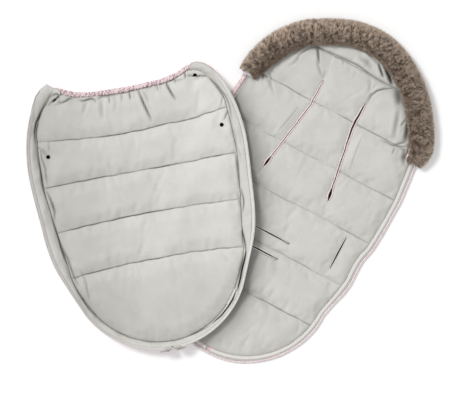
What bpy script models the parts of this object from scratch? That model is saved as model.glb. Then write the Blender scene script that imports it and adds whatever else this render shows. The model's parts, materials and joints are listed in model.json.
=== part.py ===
"""A two-part footmuff for a pushchair, unzipped and laid open with its lining up.

The mat lies on the floor with its foot towards -Y and its fur-trimmed hood towards +Y.
The cover has been unzipped from it and lies half over the mat's left side.
Metres, +Z up. The origin is on the mat's flat underside, under the seat.
"""

import math

import bmesh
import bpy
from mathutils import Matrix, Vector
from mathutils.geometry import delaunay_2d_cdt

# Clearances that every piece shares
clearance = 0.0003
seam_gap = 0.0006
overrun = 0.02
millimetre = 0.001
weld_distance = 0.00001
plan_merge_distance = 0.0001

# The mat's outline, from its foot centre
seat_y = 0.450
mat_foot_radius = 0.230
mat_hood_centre_y = 0.680
mat_swell_share = 1.161
mat_half_width = mat_foot_radius * mat_swell_share
mat_side_shares = ((0.0, 0.0), (0.22, 0.56), (0.37, 0.58), (0.48, 0.86), (0.76, 1.0), (0.90, 0.87), (1.0, 0.73))
mat_seam_shares = (0.281, 0.4735, 0.666, 0.8575, 1.0485, 1.241)

# The mat's layers and rim
shell_thickness = 0.0020
lining_thickness = 0.0025
rim_rise = 0.0030
rim_reach = 0.045
mat_seam_pad = 0.0050
mat_crown_pad = 0.0110
quilt_reach = 0.055
edge_reach = 0.035
wadding_inset = 0.006
piping_radius = 0.0024
tape_width = 0.0095
tape_thickness = 0.0009
coil_radius = 0.0013

# The slits and their bindings
slit_gap = 0.0060
binding_wall = 0.0035
binding_stand = 0.0015
harness_slit_shares = ((0.360, 0.7325), (0.2325, 1.0287), (0.2325, 1.138))
crotch_slit_shares = (0.447, 0.5205)
crotch_slit_half_shares = (0.1835, 0.206)
waist_slit_across_share = 0.6855
waist_slit_shares = (0.509, 0.647)

# The fur trim round the hood
fur_arc_radius = 0.2475
fur_half_width = 0.0335
fur_half_height = 0.0235
fur_skin = 0.0060
fur_tuck = 0.0085
fur_start_angle = math.radians(3.0)
fur_end_shares = (0.46, 0.74, 0.92)
trim_band_thickness = 0.0012
trim_band_height = 0.0079
hood_elastic_radius = 0.0008

# The cover's outline, from its own foot centre
cover_place = (-0.081, -0.029)
cover_turn = math.radians(38.5)
cover_foot_radius = 0.236
cover_foot_angle = math.radians(62.0)
cover_foot_crease_radius = 0.2175
cover_half_width = 0.288
cover_length = 0.734
cover_outer_shares = ((0.275, 0.838), (0.357, 0.918), (0.429, 0.955), (0.518, 0.974), (0.68, 1.0), (0.768, 0.986),
                      (0.857, 0.936), (0.936, 0.846), (0.982, 0.735), (1.0, 0.673))
crease_outer_shares = ((0.275, 0.780), (0.357, 0.808), (0.429, 0.832), (0.518, 0.862), (0.628, 0.893), (0.732, 0.889),
                       (0.803, 0.880), (0.857, 0.862), (0.928, 0.764), (0.974, 0.648))
top_edge_shares = ((0.0, 0.945), (0.30, 0.950), (0.44, 0.959), (0.52, 0.970), (0.59, 0.984))
fold_share = 0.8488
cover_seam_shares = ((0.3256, 0.2997), (0.4891, 0.4755), (0.6444, 0.6444), (0.7861, 0.8147))
fold_height = 0.0365

# The cover's layers, wall and zip edge
cover_shell_thickness = 0.0018
cover_lining_thickness = 0.0022
cover_seam_pad = 0.0035
cover_crown_pad = 0.0100
crease_inset = 0.0026
wall_shell_thickness = 0.0016
wall_lining_thickness = 0.0020
wall_foot_rise = 0.0026
wall_fold_gap = 0.0030
foot_zip_height = 0.040
side_zip_height = 0.035
top_zip_height = 0.029
foot_tape_slope = math.radians(61.0)
side_tape_slope = math.radians(46.0)
drape_height = 0.0180
drape_outside = 0.070
drape_inside = 0.030
zip_follow_share = 0.45
zip_follow_rise_share = 0.17
zip_follow_end_share = 0.30
zip_follow_fall_share = 0.25
foot_blend_share = 0.33

# The cover's small pieces
ruffle_radius = 0.0070
ruffle_room = 0.0012
ruffle_flat_share = 0.60
ruffle_skin = 0.0011
ruffle_gathers = 17
ruffle_gather_share = 0.13
ruffle_elastic_radius = 0.0024
stud_radius = 0.0052
stud_height = 0.0022
stud_shaft_radius = 0.0019
stud_profile_shares = ((0.0, 0.35), (0.55, 0.35), (0.55, 1.0), (0.85, 1.0), (1.0, 0.5), (1.0, 0.0))
stud_cap_taper_share = 0.9
stud_steps = 12
stud_cap_height = 0.0012
stud_dimple_radius = 0.0095
stud_dimple_reach = 0.022
stud_pad = 0.0010
lower_stud_shares = (0.802, 0.7507)
upper_stud_shares = (0.645, 0.942)
label_length_angles = (math.radians(47.0), math.radians(59.0))
label_height = 0.0105
label_thickness = 0.0006
label_rise = 0.0045
label_gap = 0.0009

# The zip sliders, boxes and pins
slider_length = 0.0130
slider_plate = 0.0011
slider_play = 0.00045
slider_web = 0.0011
slider_flange = 0.0011
tape_play = 0.00045
zip_box_length = 0.0050
zip_box_size = 0.0042
zip_start_angle = math.radians(0.6)
slider_rest_angle = zip_start_angle + (zip_box_length + clearance + slider_length / 2) / cover_foot_radius
pin_length = 0.0090
pin_size = 0.0022
crown_width = 0.0020
crown_length = 0.0084
crown_height = 0.0031
crown_bar = 0.0010
pull_eye_bar = 0.0011
pull_width = 0.0060
pull_eye_width = 0.0034
pull_eye_length = 0.0048
pull_length = 0.0200

# How finely the round stretches are stepped
mat_arc_steps = 20
mat_side_steps = 12
hood_arc_steps = 14
fur_steps = 22
fur_sides = 3
cover_arc_steps = 10
main_side_steps = 9
flap_side_steps = 6
top_steps = 14
zip_steps_per_arc_step = 2
row_shares = (0.22, 0.5, 0.78)
row_fill = 5
row_shoulder = 0.026
seam_steps = 8
slit_step = 0.045
slit_end_steps = 4
stud_hole_steps = 8
stud_flat_steps = 10
label_steps = 6
corner_share = 0.5
cloth_smooth_angle = math.radians(40.0)
metal_smooth_angle = math.radians(30.0)

# Colours as sRGB numbers of eight bits a channel
fleece_colour = (207, 207, 200)
wadding_colour = (236, 236, 232)
shell_colour = (223, 178, 186)
piping_colour = (226, 188, 196)
tape_colour = (196, 192, 196)
coil_colour = (210, 206, 210)
fur_colour = (139, 119, 104)
core_colour = (228, 224, 216)
elastic_colour = (240, 238, 234)
stud_colour = (18, 18, 20)
metal_colour = (150, 150, 154)
label_colour = (244, 244, 242)


def linear_channel(value):
    """One eight-bit sRGB channel as a linear share of full light."""
    share = value / 255
    if share <= 0.04045:
        return share / 12.92
    return ((share + 0.055) / 1.055) ** 2.4


def finish(name, colour, roughness, metallic=0.0):
    """A plain material of one colour."""
    made = bpy.data.materials.new(name)
    made.use_nodes = True
    shader = made.node_tree.nodes["Principled BSDF"]
    shader.inputs["Base Color"].default_value = [linear_channel(c) for c in colour] + [1.0]
    shader.inputs["Roughness"].default_value = roughness
    shader.inputs["Metallic"].default_value = metallic
    return made


for old_object in list(bpy.data.objects):
    bpy.data.objects.remove(old_object, do_unlink=True)

parts = bpy.data.collections.new("stroller_footmuff")
cutters = bpy.data.collections.new("cutters")
bpy.context.scene.collection.children.link(parts)
bpy.context.scene.collection.children.link(cutters)


def smooth_step(share):
    """0 below 0, 1 above 1, and a smooth rise between."""
    share = min(max(share, 0.0), 1.0)
    return share * share * (3 - 2 * share)


def quarter_round(distance, reach):
    """A quarter circle's rise from 0 at no distance to 1 at the reach."""
    share = min(max(distance / reach, 0.0), 1.0)
    return math.sqrt(share * (2 - share))


def curve_value(table, place):
    """Read a smooth curve through a table of (place, value) pairs."""
    places = [row[0] for row in table]
    values = [row[1] for row in table]
    slopes = []
    for i in range(len(table)):
        low = max(i - 1, 0)
        high = min(i + 1, len(table) - 1)
        slopes.append((values[high] - values[low]) / (places[high] - places[low]))
    place = min(max(place, places[0]), places[-1])
    step = 0
    while step < len(table) - 2 and place > places[step + 1]:
        step += 1
    span = places[step + 1] - places[step]
    t = (place - places[step]) / span
    return ((2 * t ** 3 - 3 * t ** 2 + 1) * values[step] + (t ** 3 - 2 * t ** 2 + t) * span * slopes[step]
            + (3 * t ** 2 - 2 * t ** 3) * values[step + 1] + (t ** 3 - t ** 2) * span * slopes[step + 1])


def spread(start, end, count):
    """Evenly spaced values from start to end, both included."""
    return [start + (end - start) * i / (count - 1) for i in range(count)]


def distance_to_path(x, y, path, closed):
    """The least distance from a point to a polyline."""
    least = math.inf
    count = len(path) if closed else len(path) - 1
    for i in range(count):
        ax, ay = path[i]
        bx, by = path[(i + 1) % len(path)]
        run_x = bx - ax
        run_y = by - ay
        length = run_x * run_x + run_y * run_y
        share = 0.0 if length == 0 else min(max(((x - ax) * run_x + (y - ay) * run_y) / length, 0.0), 1.0)
        least = min(least, math.hypot(x - ax - share * run_x, y - ay - share * run_y))
    return least


def inside(x, y, loop):
    """Whether a point lies inside a closed loop."""
    within = False
    for i in range(len(loop)):
        ax, ay = loop[i]
        bx, by = loop[(i + 1) % len(loop)]
        if (ay > y) != (by > y) and x < (bx - ax) * (y - ay) / (by - ay) + ax:
            within = not within
    return within


def depth_inside(x, y, loop):
    """The distance to a closed loop, above zero inside it."""
    depth = distance_to_path(x, y, loop, True)
    return depth if inside(x, y, loop) else -depth


def inset_loop(loop, inset):
    """Move a closed anticlockwise loop inwards by an even distance."""
    moved = []
    for i in range(len(loop)):
        before = Vector(loop[i]) - Vector(loop[i - 1])
        after = Vector(loop[(i + 1) % len(loop)]) - Vector(loop[i])
        before.normalize()
        after.normalize()
        inward = Vector((-before.y - after.y, before.x + after.x))
        inward.normalize()
        spare = max(inward.dot(Vector((-before.y, before.x))), corner_share)
        moved.append((loop[i][0] + inward.x * inset / spare, loop[i][1] + inward.y * inset / spare))
    return moved


def slot_loop(path, half_width, end_steps):
    """A round-ended outline at an even distance round an open path, anticlockwise."""
    def side(points, turn):
        row = []
        for i in range(len(points)):
            before = Vector(points[i]) - Vector(points[max(i - 1, 0)])
            after = Vector(points[min(i + 1, len(points) - 1)]) - Vector(points[i])
            run = before.normalized() + after.normalized()
            run.normalize()
            row.append((points[i][0] + turn * run.y * half_width, points[i][1] - turn * run.x * half_width))
        return row

    def end(tip, run):
        heading = math.atan2(run.y, run.x)
        angles = spread(heading - math.pi / 2, heading + math.pi / 2, end_steps + 1)[1:-1]
        return [(tip[0] + half_width * math.cos(a), tip[1] + half_width * math.sin(a)) for a in angles]

    last_run = Vector(path[-1]) - Vector(path[-2])
    first_run = Vector(path[0]) - Vector(path[1])
    back = list(reversed(side(path, -1)))
    return side(path, 1) + end(path[-1], last_run) + back + end(path[0], first_run)


def divided(path, step):
    """The same path with extra points, no further apart than the step."""
    points = []
    for i in range(len(path) - 1):
        length = math.dist(path[i], path[i + 1])
        count = max(math.ceil(length / step), 1)
        for j in range(count):
            share = j / count
            points.append(tuple(a + (b - a) * share for a, b in zip(path[i], path[i + 1])))
    points.append(path[-1])
    return points


def add_object(name, mesh, look, frame):
    """Put a finished mesh in the model under its frame."""
    made = bpy.data.objects.new(name, mesh)
    parts.objects.link(made)
    mesh.materials.clear()
    mesh.materials.append(look)
    made.parent = frame
    mesh.shade_smooth()
    mesh.set_sharp_from_angle(angle=cloth_smooth_angle)
    return made


def mesh_from(bm, name):
    """Turn a bmesh into a mesh whose faces point outwards."""
    bmesh.ops.recalc_face_normals(bm, faces=bm.faces)
    mesh = bpy.data.meshes.new(name)
    bm.to_mesh(mesh)
    bm.free()
    return mesh


def plan_of(loops, lines, points):
    """Triangulate a pattern piece: closed loops and open lines become edges, points are filled in."""
    scale = 1 / millimetre
    places = []
    edges = []
    for path, closed in [(loop, True) for loop in loops] + [(line, False) for line in lines]:
        first = len(places)
        places += [Vector((x * scale, y * scale)) for x, y in path]
        edges += [(first + i, first + i + 1) for i in range(len(path) - 1)]
        if closed:
            edges.append((len(places) - 1, first))
    places += [Vector((x * scale, y * scale)) for x, y in points]
    found = delaunay_2d_cdt(places, edges, [], 0, plan_merge_distance)
    return [(v.x * millimetre, v.y * millimetre) for v in found[0]], found[2]


def layer(name, plan, outline, holes, keep, bottom, top, look, frame):
    """One sewn layer: the pattern's triangles inside the outline, between two surfaces."""
    places, triangles = plan
    bm = bmesh.new()
    made = {}
    for triangle in triangles:
        x = sum(places[i][0] for i in triangle) / 3
        y = sum(places[i][1] for i in triangle) / 3
        if not inside(x, y, outline) or any(inside(x, y, hole) for hole in holes) or not keep(x, y):
            continue
        for i in triangle:
            if i not in made:
                made[i] = bm.verts.new((places[i][0], places[i][1], top(*places[i])))
        bm.faces.new([made[i] for i in triangle])
    lowered = bmesh.ops.extrude_face_region(bm, geom=bm.faces[:])["geom"]
    for item in lowered:
        if isinstance(item, bmesh.types.BMVert):
            item.co.z = bottom(item.co.x, item.co.y)
    return add_object(name, mesh_from(bm, name), look, frame)


def strip(name, rows, thickness, side, look, frame, closed=False):
    """A sheet between rows of points, thickened to one side (-1 or 1) or both (0)."""
    bm = bmesh.new()
    grid = [[bm.verts.new(point) for point in row] for row in rows]
    count = len(rows[0])
    for low, high in zip(grid, grid[1:]):
        for i in range(count if closed else count - 1):
            j = (i + 1) % count
            bm.faces.new((low[i], low[j], high[j], high[i]))
    mesh = bpy.data.meshes.new(name)
    bm.to_mesh(mesh)
    bm.free()
    made = add_object(name, mesh, look, frame)
    shell = made.modifiers.new("Thickness", "SOLIDIFY")
    shell.thickness = thickness
    shell.offset = side
    shell.use_even_offset = True
    return made


def tube_mesh(name, points, radius, resolution, shares=None, capped=True):
    """A round tube along the points, as a mesh."""
    curve = bpy.data.curves.new(name, "CURVE")
    curve.dimensions = "3D"
    curve.twist_mode = "Z_UP"
    curve.bevel_depth = radius
    curve.bevel_resolution = resolution
    curve.use_fill_caps = capped
    line = curve.splines.new("POLY")
    line.points.add(len(points) - 1)
    for i, point in enumerate(points):
        line.points[i].co = (*point, 1.0)
        line.points[i].radius = 1.0 if shares is None else shares[i]
    holder = bpy.data.objects.new(name, curve)
    parts.objects.link(holder)
    mesh = bpy.data.meshes.new_from_object(holder.evaluated_get(bpy.context.evaluated_depsgraph_get()))
    bpy.data.objects.remove(holder, do_unlink=True)
    bpy.data.curves.remove(curve)
    bm = bmesh.new()
    bm.from_mesh(mesh)
    bmesh.ops.remove_doubles(bm, verts=bm.verts, dist=weld_distance)
    bm.to_mesh(mesh)
    bm.free()
    return mesh


def tube(name, points, radius, resolution, look, frame):
    """A cord or coil that follows the points."""
    mesh = tube_mesh(name, points, radius, resolution)
    bm = bmesh.new()
    bm.from_mesh(mesh)
    bpy.data.meshes.remove(mesh)
    return add_object(name, mesh_from(bm, name), look, frame)


def box_in(bm, low, high, matrix=Matrix.Identity(4)):
    """Add a box between two corners of a local space."""
    size = Vector(high) - Vector(low)
    middle = (Vector(high) + Vector(low)) / 2
    shape = matrix @ Matrix.Translation(middle) @ Matrix.Diagonal((*size, 1.0))
    return bmesh.ops.create_cube(bm, size=1.0, matrix=shape)["verts"]


def box_mesh(name, low, high):
    """One box as a mesh."""
    bm = bmesh.new()
    box_in(bm, low, high)
    return mesh_from(bm, name)


def cut_with(body, low, high, operation="DIFFERENCE"):
    """Cut a local box out of a body, or join it on."""
    tool = bpy.data.objects.new(body.name + "_cutter", box_mesh(body.name + "_cutter", low, high))
    cutters.objects.link(tool)
    tool.hide_render = True
    tool.display_type = "WIRE"
    tool.parent = body
    change = body.modifiers.new("Cut", "BOOLEAN")
    change.operation = operation
    change.object = tool
    return tool


def frame_at(name, parent, place, turn=0.0):
    """An empty that carries one body."""
    made = bpy.data.objects.new(name, None)
    parts.objects.link(made)
    made.empty_display_size = overrun
    made.parent = parent
    made.location = place
    made.rotation_euler = (0.0, 0.0, turn)
    return made


def mirrored(path):
    """The same path on the other side of the centre line, in the same turning sense."""
    return [(-x, y) for x, y in reversed(path)]


# The materials of the sewn goods and the hardware
lining_look = finish("warm grey fleece", fleece_colour, 0.95)
wadding_look = finish("white polyester wadding", wadding_colour, 0.95)
shell_look = finish("pale pink woven shell", shell_colour, 0.8)
piping_look = finish("pink woven binding", piping_colour, 0.75)
tape_look = finish("grey zip tape", tape_colour, 0.85)
coil_look = finish("nylon zip coil", coil_colour, 0.5)
fur_look = finish("taupe faux fur", fur_colour, 1.0)
core_look = finish("fur trim filling", core_colour, 0.95)
elastic_look = finish("knitted elastic", elastic_colour, 0.8)
stud_look = finish("black plastic press stud", stud_colour, 0.35)
metal_look = finish("zinc zip hardware", metal_colour, 0.35, 0.9)
label_look = finish("white care label", label_colour, 0.7)

mat_frame = frame_at("mat_frame", None, (0.0, -seat_y, 0.0))
cover_frame = frame_at("cover_frame", mat_frame, (*cover_place, 0.0), cover_turn)


# The mat's outline

def mat_side_x(y):
    """The mat's half width between its foot arc and its hood."""
    body_length = mat_hood_centre_y - mat_foot_radius
    swell = curve_value(mat_side_shares, (y - mat_foot_radius) / body_length)
    return mat_foot_radius + (mat_half_width - mat_foot_radius) * swell


shoulder_y = mat_hood_centre_y + fur_arc_radius * math.sin(fur_start_angle) - clearance
hood_edge_radius = fur_arc_radius - fur_half_width + fur_tuck - trim_band_thickness - clearance


def mat_right_side():
    """The mat's outer edge from the foot centre to the fur trim, on the right."""
    angles = spread(0.0, math.pi / 2, mat_arc_steps // 2 + 1)
    arc = [(mat_foot_radius * math.sin(a), mat_foot_radius * (1 - math.cos(a))) for a in angles]
    ys = spread(mat_foot_radius, shoulder_y, mat_side_steps)[1:]
    return arc + [(mat_side_x(y), y) for y in ys]


def inset_right_side(inset):
    """The right side moved inwards, ending at the shoulder."""
    side = mat_right_side()
    moved = inset_loop(mirrored(side)[:-1] + side, inset)[len(side) - 1:]
    moved[0] = (0.0, inset)
    moved[-1] = (moved[-1][0], shoulder_y)
    return moved


def hood_arc(radius, past_shoulder=0.0):
    """The hood's edge from the right shoulder over the crown to the left one."""
    start = math.asin((shoulder_y + past_shoulder - mat_hood_centre_y) / radius)
    angles = spread(start, math.pi - start, hood_arc_steps + 1)
    return [(radius * math.cos(a), mat_hood_centre_y + radius * math.sin(a)) for a in angles]


def mat_loop(inset, radius):
    """A closed pattern outline of the mat."""
    side = inset_right_side(inset)
    return side + hood_arc(radius) + mirrored(side)[:-1]


shell_edge_inset = 2 * piping_radius + clearance
coil_inset = shell_edge_inset + coil_radius
tape_outer_inset = coil_inset + coil_radius + clearance
tape_inner_inset = tape_outer_inset + tape_width
lining_edge_inset = tape_inner_inset + clearance
mat_outer_loop = mat_loop(0.0, fur_arc_radius)
shell_loop = mat_loop(shell_edge_inset, hood_edge_radius)
lining_loop = mat_loop(lining_edge_inset, hood_edge_radius)
wadding_loop = inset_loop(lining_loop, wadding_inset)
mat_seam_ys = [share * mat_hood_centre_y for share in mat_seam_shares]
mat_seam_lines = []
for seam_y in mat_seam_ys:
    if seam_y < shoulder_y:
        seam_reach = mat_side_x(seam_y) - lining_edge_inset
    else:
        seam_reach = math.sqrt(hood_edge_radius ** 2 - (seam_y - mat_hood_centre_y) ** 2)
    mat_seam_lines.append((seam_reach - 2 * wadding_inset, seam_y))


# The mat's slits

def slit_paths():
    """Each slit's name and path, in the mat's plane."""
    named = []
    for word, sign in (("right", 1), ("left", -1)):
        path = [(sign * across * mat_half_width, along * mat_hood_centre_y) for across, along in harness_slit_shares]
        named.append(("harness_slit_binding_" + word, path))
        x = sign * waist_slit_across_share * mat_half_width
        named.append(("waist_slit_binding_" + word, [(x, along * mat_hood_centre_y) for along in waist_slit_shares]))
    for word, along, across in zip(("lower", "upper"), crotch_slit_shares, crotch_slit_half_shares):
        half = across * mat_half_width
        y = along * mat_hood_centre_y
        named.append(("crotch_slit_binding_" + word, [(-half, y), (half, y)]))
    return named


slit_half = slit_gap / 2 + binding_wall
slit_holes = [slot_loop(divided(path, slit_step), slit_half + clearance, slit_end_steps) for _, path in slit_paths()]


# The mat's surfaces

def shell_bottom(x, y):
    """The mat's underside: flat on the floor, lifting towards its rim."""
    return rim_rise * (1 - smooth_step((depth_inside(x, y, mat_outer_loop) - shell_edge_inset) / rim_reach))


def shell_top(x, y):
    return shell_bottom(x, y) + shell_thickness


def mat_pad(x, y):
    """The room for wadding: drawn in at the edge and at every quilting seam."""
    seam_distance = min(abs(y - seam_y) for seam_y in mat_seam_ys)
    edge_share = quarter_round(depth_inside(x, y, lining_loop), edge_reach)
    crown = (mat_crown_pad - mat_seam_pad) * quarter_round(seam_distance, quilt_reach)
    return (mat_seam_pad + crown) * edge_share


def lining_bottom(x, y):
    return shell_top(x, y) + clearance + mat_pad(x, y)


def lining_top(x, y):
    return lining_bottom(x, y) + lining_thickness


def pattern_rows(low_y, high_y, seam_ys, half_width_at):
    """Fill points on rows between the seams, with one by each edge."""
    bounds = [low_y] + [y for y in seam_ys if low_y < y < high_y] + [high_y]
    points = []
    for low, high in zip(bounds, bounds[1:]):
        for share in row_shares:
            y = low + (high - low) * share
            half = half_width_at(y) - row_shoulder
            if half > row_shoulder:
                points += [(x, y) for x in spread(-half, half, row_fill + 2)]
    return points


def mat_inner_half(y):
    """The lining's half width at a place along the mat."""
    if y > shoulder_y:
        return math.sqrt(max(hood_edge_radius ** 2 - (y - mat_hood_centre_y) ** 2, 0.0))
    if y < mat_foot_radius:
        return math.sqrt(max(mat_foot_radius ** 2 - (mat_foot_radius - y) ** 2, 0.0)) - lining_edge_inset
    return mat_side_x(y) - lining_edge_inset


def make_mat_layers():
    """The shell, the wadding and the quilted lining, from one shared pattern."""
    crown_y = mat_hood_centre_y + hood_edge_radius
    fill = pattern_rows(lining_edge_inset, crown_y, mat_seam_ys, mat_inner_half)
    spare = slit_half + row_shoulder / 2
    slit_lines = [path for _, path in slit_paths()]
    fill = [p for p in fill if all(distance_to_path(*p, path, False) > spare for path in slit_lines)]
    fill = [p for p in fill if depth_inside(*p, wadding_loop) > wadding_inset]
    seams = []
    for reach, y in mat_seam_lines:
        seams.append([(x, y) for x in spread(-reach, reach, seam_steps + 1)])
    plan = plan_of([shell_loop, lining_loop, wadding_loop] + slit_holes, seams, fill)
    everywhere = lambda x, y: True
    layer("mat_outer_shell", plan, shell_loop, slit_holes, everywhere, shell_bottom, shell_top, shell_look, mat_frame)
    layer("mat_wadding", plan, wadding_loop, slit_holes, everywhere,
          lambda x, y: shell_top(x, y) + clearance, lambda x, y: lining_bottom(x, y) - clearance,
          wadding_look, mat_frame)
    layer("mat_lining", plan, lining_loop, slit_holes, everywhere, lining_bottom, lining_top, lining_look, mat_frame)


def make_slit_bindings():
    """A bound edge round each slit, through all the layers."""
    for name, path in slit_paths():
        middle = slot_loop(divided(path, slit_step), slit_gap / 2 + binding_wall / 2, slit_end_steps)
        low = [(x, y, clearance) for x, y in middle]
        high = [(x, y, lining_top(x, y) + binding_stand) for x, y in middle]
        strip(name, [low, high], binding_wall, 0, piping_look, mat_frame, closed=True)


def make_mat_rim():
    """The piping, the zip tapes and the zip coils, each from foot to hood."""
    side = inset_right_side(piping_radius)
    rim = mirrored(side)[:-1] + side
    piping_z = rim_rise + piping_radius
    tube("mat_piping", [(x, y, piping_z) for x, y in rim], piping_radius, 1, piping_look, mat_frame)
    centre_gap = pin_size
    outer = inset_right_side(tape_outer_inset)
    inner = inset_right_side(tape_inner_inset)
    coil = [Vector(point) for point in inset_right_side(coil_inset)]
    outer[0] = (centre_gap, outer[0][1])
    inner[0] = (centre_gap, inner[0][1])
    run = (coil[1] - coil[0]).normalized()
    pin_middle = coil[0] + run * (centre_gap + pin_length / 2)
    coil[0] += run * (centre_gap + pin_length)
    for word, sign in (("right", 1), ("left", -1)):
        rows = [[(sign * x, y, shell_top(x, y) + clearance) for x, y in row] for row in (inner, outer)]
        strip("mat_zip_tape_" + word, rows, tape_thickness, -sign, tape_look, mat_frame)
        coil_rise = clearance + coil_radius
        points = [(sign * x, y, shell_top(x, y) + coil_rise) for x, y in coil]
        tube("mat_zip_coil_" + word, points, coil_radius, 0, coil_look, mat_frame)
        half = Vector((pin_length / 2 - clearance, pin_size / 2, pin_size / 2))
        pin = add_object("mat_zip_pin_" + word, box_mesh("mat_zip_pin_" + word, -half, half), metal_look, mat_frame)
        pin_z = shell_top(*pin_middle) + clearance + pin_size / 2
        pin.location = (sign * pin_middle.x, pin_middle.y, pin_z)
        pin.rotation_euler = (0.0, 0.0, sign * math.atan2(run.y, run.x))


# The fur trim

def fur_path():
    """The fur roll's centre line and its swelling from each end."""
    angles = spread(fur_start_angle, math.pi - fur_start_angle, fur_steps + 1)
    places = [(fur_arc_radius * math.cos(a), fur_arc_radius * math.sin(a), 0.0) for a in angles]
    shares = [1.0] * len(places)
    for i, share in enumerate(fur_end_shares):
        shares[i] = share
        shares[-1 - i] = share
    return places, shares


def fur_piece(name, depth, look, capped):
    """A roll along the hood, flattened and laid on the floor, a depth inside the fur's own surface."""
    places, shares = fur_path()
    half_height = fur_half_height - depth
    shares = [(share * fur_half_height - depth) / half_height for share in shares]
    radius = half_height * fur_half_width / fur_half_height
    mesh = tube_mesh(name, places, radius, fur_sides, shares, capped)
    flatten = Matrix.Diagonal((1.0, 1.0, fur_half_height / fur_half_width, 1.0))
    lift = Matrix.Translation((0.0, mat_hood_centre_y, fur_half_height))
    mesh.transform(lift @ flatten)
    bm = bmesh.new()
    bm.from_mesh(mesh)
    bpy.data.meshes.remove(mesh)
    return add_object(name, mesh_from(bm, name), look, mat_frame)


def make_fur_trim():
    """The fur sleeve, its filling, the band that joins it to the hood, and the hood's elastic."""
    sleeve = fur_piece("fur_trim", 0.0, fur_look, False)
    skin = sleeve.modifiers.new("Pile backing", "SOLIDIFY")
    skin.thickness = fur_skin
    skin.offset = -1
    skin.use_even_offset = True
    fur_piece("fur_trim_filling", fur_skin + 2 * seam_gap, core_look, True)
    band_radius = hood_edge_radius + clearance + trim_band_thickness / 2
    arc = hood_arc(band_radius, trim_band_thickness)
    low = [(x, y, clearance) for x, y in arc]
    high = [(x, y, trim_band_height) for x, y in arc]
    strip("fur_trim_band", [low, high], trim_band_thickness, 0, shell_look, mat_frame)
    elastic_inset = wadding_inset / 2
    cord = hood_arc(hood_edge_radius - elastic_inset)[1:-1]
    points = [(x, y, shell_top(x, y) + clearance + hood_elastic_radius) for x, y in cord]
    tube("hood_elastic", points, hood_elastic_radius, 1, elastic_look, mat_frame)


# The cover's outline and places

cover_to_mat = Matrix.Translation((*cover_place, 0.0)) @ Matrix.Rotation(cover_turn, 4, "Z")


def drape(x, y):
    """How far the mat lifts the cover here: nothing away from it, the mat's thickness over it."""
    place = cover_to_mat @ Vector((x, y, 0.0))
    depth = depth_inside(place.x, place.y, mat_outer_loop)
    return drape_height * smooth_step((depth + drape_outside) / (drape_outside + drape_inside))


arc_end_y = cover_foot_radius - cover_foot_radius * math.cos(cover_foot_angle)
crease_end_y = cover_foot_radius - cover_foot_crease_radius * math.cos(cover_foot_angle)


def cover_side(table, radius, end_y):
    """A table of real places for one side line, starting at the end of its foot arc."""
    start = (end_y, radius * math.sin(cover_foot_angle))
    return [start] + [(along * cover_length, across * cover_half_width) for along, across in table]


fold_y = fold_share * cover_length
cover_seam_ys = [(middle * cover_length, side * cover_length) for middle, side in cover_seam_shares]
outer_side = cover_side(cover_outer_shares, cover_foot_radius, arc_end_y)
crease_side = cover_side(crease_outer_shares, cover_foot_crease_radius, crease_end_y)
top_edge = [(across * cover_half_width, along * cover_length) for across, along in top_edge_shares]
half_wall_gap = wall_fold_gap / 2


def arc_point(radius, angle):
    """A point of a foot arc, from the foot centre."""
    return (radius * math.sin(angle), cover_foot_radius - radius * math.cos(angle))


def foot_arc(radius, steps, start=0.0):
    """The right half of a foot arc."""
    return [arc_point(radius, angle) for angle in spread(start, cover_foot_angle, steps + 1)]


def side_line(table, low_y, high_y, steps):
    """Points of a side line between two places along the cover."""
    return [(curve_value(table, y), y) for y in spread(low_y, high_y, steps)]


half_fold_gap = seam_gap / 2
main_crease = (foot_arc(cover_foot_crease_radius, cover_arc_steps)
               + side_line(crease_side, crease_end_y, fold_y - half_wall_gap, main_side_steps)[1:])
flap_crease = side_line(crease_side, fold_y + half_wall_gap, crease_side[-1][0], flap_side_steps)
main_outer = (foot_arc(cover_foot_radius, cover_arc_steps)
              + side_line(outer_side, arc_end_y, fold_y - half_wall_gap, main_side_steps)[1:])
flap_outer = side_line(outer_side, fold_y + half_wall_gap, outer_side[-1][0], flap_side_steps)


def top_y(x):
    """The top edge's place along the cover."""
    return curve_value(top_edge, abs(x))


def top_row(half, inset, steps):
    """The top edge moved squarely into the cover, from right to left."""
    row = []
    for x in spread(half, -half, steps + 1):
        slope = (top_y(x + clearance) - top_y(x - clearance)) / (2 * clearance)
        length = math.hypot(1.0, slope)
        row.append((x + inset * slope / length, top_y(x) - inset / length))
    return row


def panel_loop(inset):
    """The quilted panel's outline, inside the crease and below the ruffle."""
    crease = main_crease[:-1] + [(curve_value(crease_side, fold_y), fold_y)] + flap_crease[1:]
    whole = mirrored(crease)[:-1] + crease
    top_half = flap_crease[-1][0] - crease_inset - 3 * ruffle_radius
    top = top_row(top_half, 2 * ruffle_radius + ruffle_room + inset, top_steps)
    moved = inset_loop(whole + top, crease_inset + inset)
    return moved[:len(whole)] + top


panel_edge = panel_loop(0.0)
panel_wadding_edge = inset_loop(panel_edge, wadding_inset)


def cover_seam_y(seam, x):
    """Where a curved quilting seam crosses, at a distance from the centre line."""
    share = x / cover_half_width
    return seam[0] + (seam[1] - seam[0]) * share * share


lower_stud_place = (lower_stud_shares[0] * cover_half_width, lower_stud_shares[1] * cover_length)
upper_stud_place = (upper_stud_shares[0] * cover_half_width, upper_stud_shares[1] * cover_length)
stud_places = [(sign * place[0], place[1]) for place in (lower_stud_place, upper_stud_place) for sign in (1, -1)]


def stud_distance(x, y):
    return min(math.dist((x, y), place) for place in stud_places)


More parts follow.
